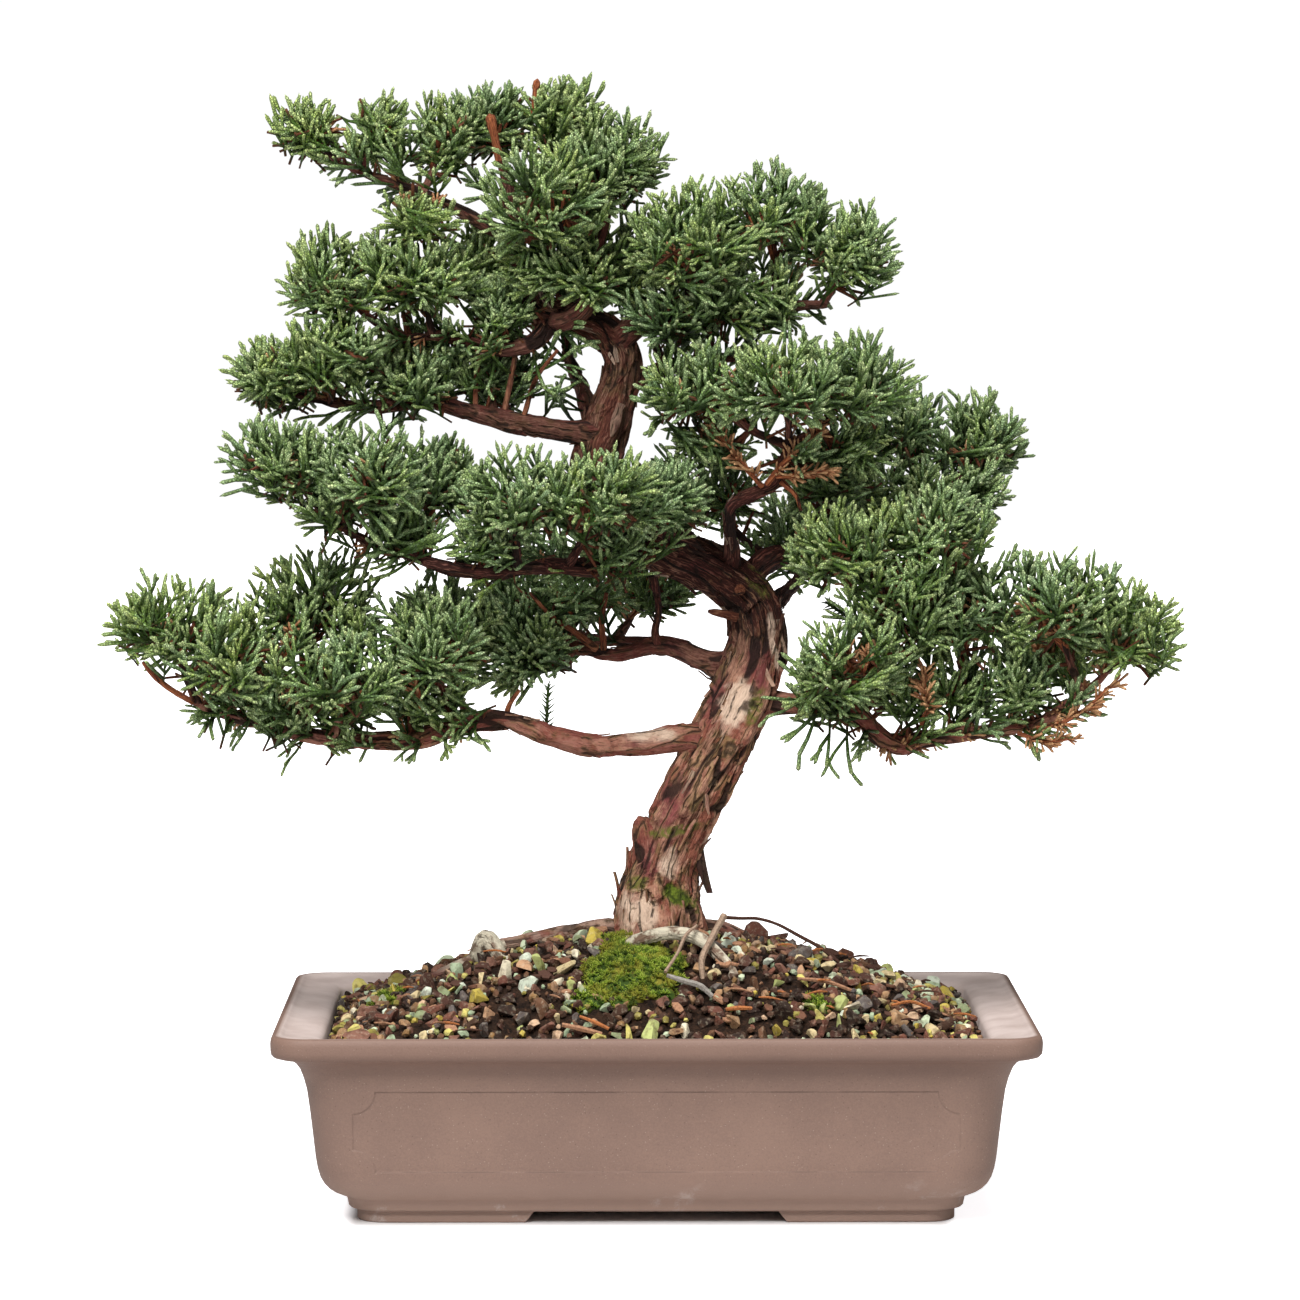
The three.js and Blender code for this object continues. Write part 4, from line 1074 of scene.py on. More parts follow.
# Litter on the soil: twigs as (x, y, z, radius) rows, with a lot for their colour
LITTER_TWIGS = [
    ([(28, -28, 118.5, 0.9), (35.3, -22, 117.4, 0.75), (42.4, -16, 116.6, 0.7), (50.6, -12, 113.9, 0.7),
      (59.6, -9, 108.8, 0.75), (69.4, -8, 103.2, 0.8), (80, -8, 94.6, 0.7)], 0.6),
    ([(28.4, -27, 119, 1.5), (23.3, -38, 111.5, 1.4), (18.9, -47, 103, 1.3), (19.3, -50, 95.5, 1.1)], 0.9),
    ([(17.1, -36, 116, 0.7), (12.7, -41, 113, 0.75), (9.1, -49, 106.5, 0.7), (3.8, -58, 99.5, 0.7)], 0.9),
    ([(4.6, -61, 98.5, 0.9), (10.9, -63, 96.6, 1.2), (17.9, -64, 94.6, 1.3), (23.1, -66, 90.4, 1)], 0.98),
    ([(28.3, -75, 86.4, 0.7), (33, -76, 87, 1), (38.7, -75, 86.8, 0.7)], 0.1),
    ([(-30.9, -83, 84.6, 0.6), (-25, -85, 82.6, 0.8), (-19.2, -86, 79.9, 0.8)], 0.1),
    ([(-38, -86, 81.6, 0.9), (-30, -87, 80, 1.2), (-22, -88, 78, 1)], 0.4),
    ([(-52, -30, 100, 0.8), (-42, -36, 102, 1), (-33, -40, 101, 0.7)], 0.4),
    ([(58, -52, 96, 0.7), (70, -50, 94.5, 0.9), (80, -51, 91, 0.7)], 0.4),
    ([(96, -60, 86, 0.6), (104, -56, 87, 0.7), (112, -55, 84, 0.6)], 0.1),
]
NEEDLE_COUNT = 90
CHIP_COUNT = 230


def straight_twig(bm, route, lot):
    layer, = float_layers(bm, "lot")
    stations = smooth_route(route, 2.2)

    def shape(vert, step, station, outward, angle):
        vert[layer] = lot
        return station.w * (1 + 0.15 * noise.noise(station.xyz * 0.6))

    bend_grid(bm, 6, stations, shape)


def chip_template(rng, name):
    """A flat scrap of bark."""
    bm = bmesh.new()
    float_layers(bm, "lot")
    disc = bmesh.ops.create_circle(bm, cap_ends=True, segments=7, radius=0.5)["verts"]
    for vert in disc:
        x, y, _ = vert.co
        vert.co = (x * rng.uniform(0.5, 0.9), y * rng.uniform(0.8, 1.2), 0.08 * x ** 2)
    bmesh.ops.solidify(bm, geom=list(bm.faces), thickness=0.14)
    bmesh.ops.recalc_face_normals(bm, faces=bm.faces)
    return template_of(name, bm, smooth=False)


def add_litter(material):
    rng = random.Random(23)
    bm = bmesh.new()
    float_layers(bm, "lot")
    for route, lot in LITTER_TWIGS:
        straight_twig(bm, route, lot)
    chips = [chip_template(rng, "bark_chip_%d" % i) for i in range(5)]
    for i in range(NEEDLE_COUNT + CHIP_COUNT):
        x = rng.uniform(-0.93, 0.93) * SOIL_HALF_WIDTH
        y = rng.uniform(-0.93, 0.8) * SOIL_HALF_DEPTH
        if not free_of_plants(x, y, 4):
            continue
        place = Vector((x, y, mound_height(x, y) + rng.uniform(1.2, 2.6)))
        normal = mound_normal(x, y)
        turn = rng.uniform(0, FULL_TURN)
        heading = compass(turn, rng.uniform(-0.15, 0.25))
        if i < NEEDLE_COUNT:
            length = rng.uniform(4, 11)
            bend = normal * length * 0.06
            end = place + heading * length
            lot = rng.choice((0.1, 0.1, 0.4, 0.6))
            route = [(*place, 0.3), (*(place.lerp(end, 0.5) + bend), 0.5), (*end, 0.25)]
            straight_twig(bm, route, lot)
        else:
            chip = rng.choice(chips)
            matrix = aimed(place, normal + heading * 0.3, rng.uniform(3, 7))
            stamp(bm, chip, matrix, lot=rng.uniform(0.3, 0.85))
    bmesh.ops.recalc_face_normals(bm, faces=bm.faces)
    add_piece("fallen_litter", bm, material, smooth=False)


# Moss patches: middle, half sizes, rise and number of stars

MOSS_PATCHES = [
    (MOSS_X, MOSS_Y, MOSS_HALF_WIDTH, MOSS_HALF_DEPTH, 0.45, 560),
    (-9, -25, 14, 12, 0.4, 140),
    (-14, -15, 11, 8, 0.5, 80),
    (-112, -14, 9, 15, 0.25, 90),
    (-27, -64, 10, 8, 0.2, 60),
    (66, -62, 7, 6, 0.2, 30),
]
# Reach of the grid that makes a patch: its top to 1, then back underneath
MOSS_GRID_REACH = 1.4
STAR_LEAVES = 7


def moss_surface(share):
    """Height of the cushion above the mound, from its middle at 0 to its outline at 1."""
    return MOSS_HEIGHT * max(0.0, 1 - share ** 2) ** 0.6


def moss_lobe(angle):
    """How far a patch's uneven outline reaches in one direction."""
    wave = noise.noise(compass(angle) * 1.9)
    ripple = noise.noise(compass(angle, 1) * 5)
    return 0.9 + 0.3 * wave + 0.16 * ripple


def moss_place(patch, angle, share):
    lobe = moss_lobe(angle)
    x = patch[0] + math.cos(angle) * share * patch[2] * lobe
    y = patch[1] + math.sin(angle) * share * patch[3] * lobe
    return x, y


def moss_bumps(x, y):
    return 2.2 * noise.noise(Vector((x, y, 3)) * 0.13) + 1.7 * noise.noise(Vector((x, y, 0)) * 0.35)


def pointed_leaf(bm, foot_radius, tip_radius, length):
    return bmesh.ops.create_cone(
        bm, cap_ends=True, segments=3, radius1=foot_radius, radius2=tip_radius, depth=length)["verts"]


def aim_leaf(bm, leaf, length, matrix):
    """Stands a leaf on its foot and moves it to its place."""
    bmesh.ops.translate(bm, vec=(0, 0, length / 2), verts=leaf)
    bmesh.ops.transform(bm, matrix=matrix, verts=leaf)


def star_template(rng, name):
    """A star of small pointed leaves."""
    bm = bmesh.new()
    growth, _ = float_layers(bm, "growth", "tone")
    for i in range(STAR_LEAVES):
        angle = i * GOLDEN_ANGLE
        tilt = 0.1 + 1.0 * i / STAR_LEAVES
        heading = Vector((math.cos(angle) * math.sin(tilt), math.sin(angle) * math.sin(tilt), math.cos(tilt)))
        length = rng.uniform(2.0, 3.1)
        leaf = pointed_leaf(bm, 0.47, 0.08, length)
        for vert in leaf:
            vert[growth] = rng.uniform(0.8, 1.0) if vert.co.z > 0 else 0.1
        aim_leaf(bm, leaf, length, aimed(Vector((0, 0, -0.3)), heading, 1))
    bmesh.ops.recalc_face_normals(bm, faces=bm.faces)
    return template_of(name, bm)


def make_moss(material):
    rng = random.Random(5)
    bm = bmesh.new()
    growth, tone = float_layers(bm, "growth", "tone")
    stars = [star_template(rng, "moss_star_%d" % i) for i in range(6)]
    for patch in MOSS_PATCHES:
        rise, count = patch[4:]
        grid = bmesh.ops.create_grid(bm, x_segments=48, y_segments=14, size=0.5)["verts"]
        for vert in grid:
            angle = (vert.co.x + 0.5) * FULL_TURN
            reach = (vert.co.y + 0.5) * MOSS_GRID_REACH
            under = reach > 1
            share = max(0.0, (MOSS_GRID_REACH - reach) / 0.4) if under else reach
            x, y = moss_place(patch, angle, share)
            lift = -3.2 if under else moss_surface(share) * rise - 1.2 + moss_bumps(x, y) * (1 - share)
            vert.co = (x, y, mound_height(x, y) + lift)
            # The cushion under the stars takes the dark low end of the moss colours, partly painted shade
            vert[growth] = 0.15
            vert[tone] = 0.5
        for i in range(count):
            share = math.sqrt((i + 0.5) / count) * 1.03
            angle = i * GOLDEN_ANGLE + rng.uniform(-0.3, 0.3)
            x, y = moss_place(patch, angle, share)
            z = mound_height(x, y) + moss_surface(share) * rise + moss_bumps(x, y) * max(0.0, 1 - share)
            outward = compass(angle) * share * 0.4
            heading = mound_normal(x, y) + outward + Vector((rng.gauss(0, 0.35), rng.gauss(0, 0.35), 0))
            matrix = aimed(Vector((x, y, z - 1.0)), heading, rng.uniform(0.6, 1.15))
            stamp(bm, rng.choice(stars), matrix, tone=rng.random())
    close_shape(bm)
    add_piece("moss_cushion", bm, material, ["moss"])


# Wood: routes of given (x, y, z, radius), from root to tip

TRUNK = [
    (0, 0, 72.8, 17), (1, 0, 98.6, 19.5), (1, 0, 112.4, 18.6), (1, 0, 124, 17.2), (3, -1, 136, 15),
    (7, -2, 148, 14), (12, -3, 159, 13.4), (18, -4, 171, 13.6), (25, -3, 184, 13.8), (32, -1, 197, 13.4),
    (38, 1, 210, 13.2), (42, 4, 223, 12.8), (43, 6, 235, 12.2), (39, 7, 247, 11.6), (30, 5, 256, 11),
    (18, 2, 263, 10.6), (3, -1, 269, 10.2), (-11, -3, 275, 10), (-21, -3, 284, 10), (-25, -1, 297, 10),
    (-24, 1, 311, 9.8), (-19, 3, 324, 9.4), (-15, 4, 337, 8.8), (-14, 4, 350, 8.2), (-21, 3, 360, 7.6),
    (-33, 1, 365, 6.8), (-45, 1, 368, 6), (-52, 2, 378, 5.2), (-57, 2, 392, 4.2), (-59, 1, 406, 3.2),
    (-61, 0, 420, 2.2),
]

BRANCHES = {
    "lower_left": [
        (23, -3, 191, 6.4), (9, -9, 191, 5.6), (-7, -14, 189, 5), (-24, -18, 189, 4.6),
        (-43, -21, 193, 4.4), (-62, -23, 200, 4.4), (-80, -24, 198, 4.2), (-98, -26, 192, 4),
        (-120, -27, 191, 3.4), (-141, -26, 194, 3), (-161, -24, 198, 2.4), (-181, -23, 203, 1.8),
        (-190, -23, 207, 1.4),
    ],
    "left_middle": [
        (37, 6, 222, 5.6), (23, 9, 222, 4.6), (9, 13, 227, 4.2), (-1, 16, 228, 3.8), (-15, 20, 224, 3.2),
        (-28, 25, 225, 2.6), (-42, 29, 230, 2),
    ],
    "lower_right": [
        (39, 2, 206, 6), (55, -2, 205, 4.8), (69, -7, 206, 4.2), (83, -12, 202, 3.9), (92, -15, 193, 3.9),
        (101, -15, 188, 4), (112, -14, 191, 3.6), (130, -12, 193, 3.2), (149, -11, 195, 2.8),
        (166, -11, 201, 2.3), (179, -11, 210, 1.7),
    ],
    "right_middle": [
        (37, 7, 253, 6), (48, 14, 263, 5.2), (59, 20, 266, 4.6), (75, 27, 269, 4), (91, 33, 276, 3.3),
        (107, 38, 284, 2.6), (122, 41, 291, 2),
    ],
    "right_riser": [
        (81, -10, 202, 3.4), (87, -12, 215, 2.9), (89, -14, 228, 2.6), (92, -17, 242, 2.3),
        (97, -20, 253, 1.9),
    ],
    "hooked_twig": [
        (32, 2, 261, 4.2), (32, -6, 271, 3.4), (31, -10, 280, 3.1), (32, -13, 288, 3), (41, -16, 293, 2.8),
        (50, -18, 297, 2.4), (52, -20, 306, 2), (56, -21, 314, 1.6),
    ],
    "front_left": [
        (3, -3, 268, 5.4), (-11, -13, 265, 4.4), (-28, -24, 263, 3.9), (-47, -32, 264, 3.5),
        (-64, -36, 262, 3.2), (-82, -37, 263, 2.8), (-100, -37, 268, 2.4), (-116, -36, 273, 2),
        (-130, -35, 281, 1.5),
    ],
    "left_upper": [
        (-23, 0, 317, 5.8), (-36, -3, 318, 5), (-52, -6, 321, 4.4), (-66, -8, 324, 3.9),
        (-80, -10, 328, 3.5), (-95, -12, 331, 3), (-112, -13, 329, 2.5), (-130, -14, 330, 2),
        (-144, -14, 332, 1.5),
    ],
    "left_crown": [
        (-43, 1, 365, 4.6), (-50, -3, 356, 3.8), (-62, -7, 352, 3.2), (-76, -9, 355, 2.8),
        (-90, -10, 358, 2.3), (-104, -11, 356, 1.8),
    ],
    "right_crown": [
        (-16, 2, 354, 6), (-5, -2, 362, 4.8), (10, -5, 366, 4.2), (26, -7, 367, 3.6), (42, -8, 368, 3.2),
        (57, -9, 370, 2.6), (71, -10, 371, 2),
    ],
    "curl": [
        (-40, 1, 366, 5), (-38, -8, 364, 4.6), (-29, -11, 370, 4.1), (-25, -9, 381, 3.4),
        (-24, -4, 392, 2.6),
    ],
    "top_left_arm": [
        (-58, 2, 398, 3.4), (-68, -5, 403, 2.9), (-84, -10, 411, 2.6), (-102, -13, 419, 2.3),
        (-118, -13, 424, 1.9), (-132, -12, 430, 1.4),
    ],
    "right_back": [
        (-16, 4, 338, 5), (-4, 12, 340, 3.8), (11, 21, 345, 3.1), (27, 28, 348, 2.5), (41, 33, 348, 1.9),
    ],
    "back_left": [
        (34, 4, 212, 6), (20, 20, 221, 4.6), (3, 38, 226, 3.8), (-17, 53, 227, 3), (-36, 65, 229, 2.2),
    ],
    "back_right": [
        (43, 8, 234, 5.6), (49, 26, 242, 4.2), (55, 44, 248, 3.4), (61, 60, 252, 2.6),
    ],
    "back_top": [
        (-22, 2, 310, 5), (-27, 22, 325, 3.8), (-32, 40, 339, 3), (-37, 56, 350, 2.2),
    ],
}

# Surface roots: route, and how bare and pale the wood is
ROOTS = {
    "left_root": ([
        (-1, 2, 102, 9), (-18, 3, 110, 5), (-36, 2, 109, 3.2), (-56, -2, 105.5, 3), (-67, -6, 102.5, 3.4),
        (-66, -14, 98.5, 2.6), (-58, -22, 97, 1.8),
    ], 0.3),
    "left_knob": ([
        (-72, -8, 95, 2.8), (-73.5, -9, 102.5, 3.4), (-70, -10, 108, 3.8), (-66, -13, 104, 3.6),
        (-62, -17, 98.5, 3), (-53, -22, 95, 2.2), (-44, -24, 95, 1.4),
    ], 1.0),
    "far_left_root": ([
        (-62, -5, 104, 2.8), (-76, -8, 98.5, 2.6), (-90, -9, 92.5, 2.2), (-102, -9, 87, 1.6),
    ], 0.9),
    "arched_root": ([
        (2, -6, 99, 6), (-9, -18, 105, 2.6), (-10, -27, 108, 2.5), (-2, -31, 111, 2.7),
        (9, -32, 112.4, 2.9), (18, -33, 110.4, 2.9), (25, -38, 105, 2.7), (31, -45, 98, 2.3),
        (34, -51, 91.5, 1.7),
    ], 1.0),
    "right_root": ([(4, 2, 102, 9), (22, 8, 109.5, 4.6), (38, 14, 105.5, 3), (54, 18, 99.5, 2)], 0.2),
    "back_root": ([(2, 4, 102, 8), (-6, 22, 108, 4.4), (-14, 38, 102, 2.8), (-22, 50, 94.5, 1.8)], 0.2),
}

# Small stubs, cut ends and thin stems: places with radii, and how young the wood is
SMALL_WOOD = [
    ([(34, -5, 241, 2), (29, -7, 242.5, 1.8), (25, -7.5, 243.2, 1.5), (22, -7.5, 243.8, 0.7)], 0.2),
    ([(36, 0, 252, 2.4), (35.4, -8, 252.6, 2.1), (35.2, -11, 252.8, 1.9), (35.1, -11.5, 252.8, 0.4)], 0.3),
    ([(3, 14, 226, 2.6), (0.4, 13, 233, 1.8), (1.8, 11, 243, 1.5), (-0.6, 6, 258, 2)], 0.0),
    ([(-64, -10, 430, 1.9), (-66, -12, 440, 1.7), (-68, -13, 448.4, 1.6), (-68.2, -13, 449, 0.3)], 0.95),
    ([(-50, -2, 448, 1.4), (-49.4, -4, 456, 1.2), (-48.4, -4, 463.2, 1.1), (-48.3, -4, 463.6, 0.2)], 0.95),
    ([(-190, -23, 207, 1.3), (-200, -24, 213, 1.2), (-207, -24, 219, 1.1), (-211, -24, 224, 0.7)], 0.95),
    ([(-62, -20, 199, 1.3), (-60, -20, 206, 1.1), (-56, -22, 212, 0.8)], 0.9),
    ([(-24, 22, 226, 1.8), (-33, 20, 233, 1.4), (-44, 18, 241, 1), (-52, 16, 250, 0.7)], 0.5),
    ([(-21, 22, 226, 1.6), (-22, 18, 238, 1.3), (-20, 15, 250, 0.8)], 0.5),
    ([(-32, 26, 226, 2), (-42, 24, 221, 1.6), (-50, 22, 217, 1.1)], 0.0),
    ([(-74, -9, 326, 1.1), (-74, -8, 338, 1), (-72, -8, 352, 0.9)], 0.4),
    ([(-63, -8, 322, 1.5), (-60, -7, 337, 1.2), (-57, -6, 353, 1.1)], 0.3),
    ([(-55, -7, 321, 1.2), (-49, -8, 340, 1), (-40, -9, 352, 0.7)], 0.5),
    ([(60, -22, 286, 0.7), (58, -22, 292, 0.9), (52, -20, 298, 1.4)], 0.8),
    ([(66, -24, 300, 0.7), (60, -22, 300, 1), (51, -19, 300, 1.5)], 0.8),
]

# Thin sprays on their own: foot and heading
STRAY_SPRAYS = [
    ((-74, -8, 336), (-0.7, -0.2, 0.9)), ((-73, -8, 346), (0.8, -0.3, 0.6)),
    ((-60, -8, 330), (0.9, -0.3, 0.5)), ((-59, -7, 342), (-0.6, -0.4, 0.8)),
    ((-52, -8, 333), (0.9, -0.1, 0.2)), ((-48, -8, 343), (0.9, -0.2, 0.6)),
    ((-46, -6, 324), (0.5, -0.3, 1)), ((-42, -8, 348), (0.8, -0.2, -0.5)),
    ((-50, -8, 350), (0.3, -0.5, -0.9)), ((-30, 14, 330), (-0.7, -0.6, 0.4)),
    ((-32, 22, 338), (-0.5, -0.8, -0.3)), ((-28, 20, 326), (-0.9, -0.4, 0.2)),
    ((-66, -9, 350), (-0.2, -0.5, -0.9)), ((-34, 12, 322), (-0.4, -0.9, 0.7)),
    ((66, -26, 202), (-0.4, -0.3, -0.9)), ((72, -26, 198), (-0.1, -0.3, -1)),
    ((79, -26, 196), (0.1, -0.3, -1)), ((60, -26, 208), (-0.9, -0.3, -0.4)),
    ((-176, -30, 206), (-0.9, -0.3, -0.3)), ((-166, -30, 202), (-0.5, -0.3, -0.9)),
    ((-172, -30, 204), (-1, -0.2, -0.1)),
]

# Young shoots with needles: foot and heading
YOUNG_SHOOTS = [
    ((-45, -21, 194), (0.05, -0.1, 1)), ((-22, 16, 240), (-0.3, 0, 1)), ((-44, 18, 238), (-0.4, 0, 1)),
    ((0, 14, 240), (-0.5, -0.2, 1)), ((20, 8, 262), (-0.9, -0.3, -0.6)), ((128, -12, 193), (0.1, -0.3, 1)),
    ((60, -20, 316), (-0.5, -0.2, 1)), ((88, -16, 236), (-0.7, -0.4, 0.5)),
]

# Thin twigs that carry dead needles
DRY_TWIGS = [
    [(44, -22, 296, 1.3), (38, -26, 303, 1.1), (31, -28, 311, 0.9), (25, -28, 318, 0.6)],
    [(46, -22, 297, 1.3), (52, -27, 305, 1.1), (60, -28, 312, 0.9), (68, -28, 319, 0.6)],
    [(50, -24, 300, 1), (60, -28, 301, 0.9), (70, -29, 303, 0.6)],
    [(84, -22, 228, 1.3), (90, -30, 243, 1.1), (98, -31, 254, 0.9), (106, -31, 266, 0.6)],
    [(90, -30, 240, 1), (84, -32, 250, 0.8), (80, -32, 259, 0.6)],
    [(110, -22, 198, 1.1), (112, -30, 207, 1), (110, -31, 218, 0.6)],
    [(158, -20, 196, 1.1), (168, -26, 199, 1), (178, -28, 205, 0.8), (186, -28, 213, 0.6)],
    [(150, -20, 194, 1), (160, -26, 191, 0.8), (170, -27, 192, 0.6)],
    [(-160, -34, 214, 1.2), (-166, -37, 224, 1), (-172, -38, 234, 0.6)],
    [(-160, -34, 214, 1.2), (-153, -37, 223, 1), (-149, -38, 234, 0.6)],
    [(-96, -40, 206, 1.1), (-98, -43, 219, 1), (-98, -44, 232, 0.6)],
]

# Stump of a cut branch at the trunk's foot
STUMP = [
    (2, -5, 126, 5), (-2, -7, 136, 6.3), (-3.6, -7.6, 147, 6.2), (-4.6, -8, 155, 5.2), (-4, -8, 158, 3.4),
]

# Stains on the front of the wood: middle, half width, half height, tilt in degrees, and kind
STAINS = [
    (33, -14, 205, 6.5, 11, -24, "pale"),
    (43, -6, 255, 3.5, 7, 40, "olive"),
    (-2, -18, 193, 11, 2.6, 0, "pale"),
    (-7, -12, 119, 8, 9, 0, "pale"),
    (6, -17, 139, 5, 6, 0, "pale"),
    (50, -6, 231, 1.8, 12, 8, "pale"),
    (8.5, -15, 168, 5, 13, -24, "purple"),
    (-1, -14, 140, 4, 8, -15, "purple"),
    (25, -13, 206, 4, 11, -22, "purple"),
    (43, -6, 221, 6, 11, -6, "purple"),
    (22, -10, 262, 12, 5, 15, "purple"),
    (9.5, -17, 126, 7, 3.6, -38, "green"),
    (9, -14, 153, 12, 2.2, 8, "olive"),
    (-7, -12, 131, 5, 3, 20, "olive"),
    (41, -7, 204, 2.6, 8, -20, "olive"),
    (17, -16, 121, 5, 3, -20, "olive"),
]
STAIN_KINDS = ("pale", "purple", "green", "olive")


def clamped(value):
    return min(1.0, max(0.0, value))


def stain_at(place, kind):
    """How strongly a kind of stain colours a place on the wood."""
    strength = 0.0
    for x, y, z, half_width, half_height, tilt, stain in STAINS:
        if stain != kind or place.y > y + 12:
            continue
        turn = math.radians(tilt)
        dx, dz = place.x - x, place.z - z
        across = (dx * math.cos(turn) + dz * math.sin(turn)) / half_width
        along = (-dx * math.sin(turn) + dz * math.cos(turn)) / half_height
        reach = math.hypot(across, along) + 0.35 * noise.noise(place * 0.35)
        strength = max(strength, clamped((1.15 - reach) / 0.3))
    return strength


# Larger peeling strips: fixed end, free end, the way they face, and how pale they are
STRIPS = [
    ((19.5, -3, 153), (20.8, -6, 126), (1, -0.6, 0), -0.6),
    ((20, -15, 176), (22, -17, 160), (0.3, -1, 0), 0.5),
    ((-3, -14, 128), (-9, -17, 108), (-0.6, -1, 0), 0.4),
    ((28, -10, 188), (24, -14, 172), (0.8, -0.8, 0), 0.2),
    ((2, -16, 150), (-2, -18, 136), (-0.5, -1, 0), 0.0),
    ((44, -6, 228), (47, -9, 212), (0.8, -0.6, 0), 0.4),
    ((52, 0, 240), (54, -2, 226), (1, -0.2, 0), 0.3),
    ((-22, -10, 300), (-25, -12, 286), (-0.3, -1, 0), 0.1),
    ((-14, -8, 330), (-18, -10, 316), (0, -1, 0), 0.2),
    ((10, -10, 268), (-4, -12, 275), (0, -1, 0.3), 0.0),
]


class Bark:
    """Relief and colour values of bark on one stem, from where a point lies round and along it."""

    def __init__(self, bm, spacing, strength, seed, young=0.0, root=0.0):
        self.layers = dict(zip(BARK_VALUES, float_layers(bm, *BARK_VALUES)))
        self.grain = bm.verts.layers.float_vector.get("grain") or bm.verts.layers.float_vector.new("grain")
        self.spacing = spacing
        self.strength = strength
        self.young = young
        self.root = root
        self.lumps = 0.045 if strength > 0.9 else 0.12
        self.offset = Vector((seed * 31.7, seed * 17.3, seed * 53.1))

    def __call__(self, vert, step, station, outward, angle):
        radius = station.w
        along = step * self.spacing
        flat = Vector((radius * math.cos(angle), radius * math.sin(angle), along)) + self.offset
        vert[self.grain] = flat
        vert[self.layers["young"]] = self.young
        vert[self.layers["root"]] = self.root
        if self.young:
            vert[self.layers["plate"]] = 0.5
            return radius * (1 + 0.12 * noise.noise(flat * 0.5))
        warped = flat + 2.4 * noise.noise_vector(flat * 0.08)
        large, large_edge, large_drop = self.plate(warped, 0.105, 0.022)
        small, _, small_drop = self.plate(warped, 0.27, 0.04)
        gaping = clamped(0.6 + 2.2 * noise.noise(flat * 0.055))
        crack = gaping * max(0.0, 1 - large_edge / 0.15)
        fibre = noise.fractal(Vector((flat.x * 0.6, flat.y * 0.6, flat.z * 0.05)), 0.7, 2.1, 3)
        lump = noise.noise(flat * self.lumps)
        place = station.xyz + outward * radius
        stained = {kind: stain_at(place, kind) if self.strength > 0.5 else 0.0 for kind in STAIN_KINDS}
        smooth = max(stained["green"], 0.75 * stained["pale"], 0.6 * stained["purple"], 0.7 * self.root)
        rough = 2.0 * (large - 0.5) + 1.8 * large_drop + 0.6 * (small - 0.5) + 0.8 * small_drop + 0.9 * fibre
        height = (1 - 0.8 * smooth) * (rough - 1.8 * crack) + 0.9 * lump - 0.8 * stained["green"] - 0.2
        vert[self.layers["plate"]] = large if self.strength > 0.9 else 0.3 * large
        if self.strength < 0.9:
            stained["purple"] = max(stained["purple"], 0.55)
        vert[self.layers["crack"]] = crack * (1 - max(stained["green"], stained["pale"]))
        for kind, value in stained.items():
            vert[self.layers[kind]] = value
        return max(0.35 * radius, radius * self.flutes(angle, along) + self.strength * height)

    def plate(self, warped, across, along):
        """A plate's own lot from 0 to 1, the distance from its edge, and its lift towards its lower end."""
        cell = Vector((warped.x * across, warped.y * across, warped.z * along))
        distances, points = noise.voronoi(cell)
        lot = clamped(0.5 + 0.9 * noise.noise(points[0] * 9.7))
        drop = (points[0].z - cell.z) * (0.2 + 1.1 * lot)
        return lot, distances[1] - distances[0], drop

    def flutes(self, angle, along):
        if self.strength < 0.9:
            return 1.0
        return 1 + 0.045 * (math.cos(3 * angle + along / 23) + 0.6 * math.cos(5 * angle - along / 14))


# Stems of each kind: sides, spacing of their rings, and strength of their relief
STEM_KINDS = {
    "trunk": (88, 0.95, 1.0),
    "branch": (18, 1.8, 0.6),
    "root": (16, 1.6, 0.35),
    "stump": (24, 1.2, 0.6),
    "small": (12, 1.2, 0.2),
    "twig": (8, 2.4, 0.16),
    "dry_twig": (6, 2.4, 0.1),
    "young_twig": (5, 5, 0),
}


def stem(bm, route, kind, seed, young=0.0, root=0.0):
    sides, spacing, strength = STEM_KINDS[kind]
    stations = smooth_route(route, spacing)
    bend_grid(bm, sides, stations, Bark(bm, spacing, strength, seed, young, root))
    return stations


def flake_template(rng, name):
    """A thin strip of bark: attached at its foot and curling away at its free end."""
    bm = bmesh.new()
    float_layers(bm, *BARK_VALUES)
    grain_layer = bm.verts.layers.float_vector.new("grain")
    strip = bmesh.ops.create_grid(bm, x_segments=2, y_segments=5, size=0.5)["verts"]
    curl = rng.uniform(0.08, 0.24)
    broad = rng.uniform(0.16, 0.32)
    for vert in strip:
        across, along = vert.co.x, vert.co.y + 0.5
        width = broad * (1 - 0.65 * along ** 3) * (0.85 + 0.2 * math.sin(along * 6 + curl * 30))
        lift = curl * along ** 1.7 - 0.35 * across ** 2
        vert.co = (lift, across * width, along)
    bmesh.ops.recalc_face_normals(bm, faces=bm.faces)
    bmesh.ops.solidify(bm, geom=list(bm.faces), thickness=0.024)
    bmesh.ops.recalc_face_normals(bm, faces=bm.faces)
    for vert in bm.verts:
        vert[grain_layer] = (vert.co.x * 14, vert.co.y * 14, vert.co.z * 12)
    return template_of(name, bm, smooth=False)


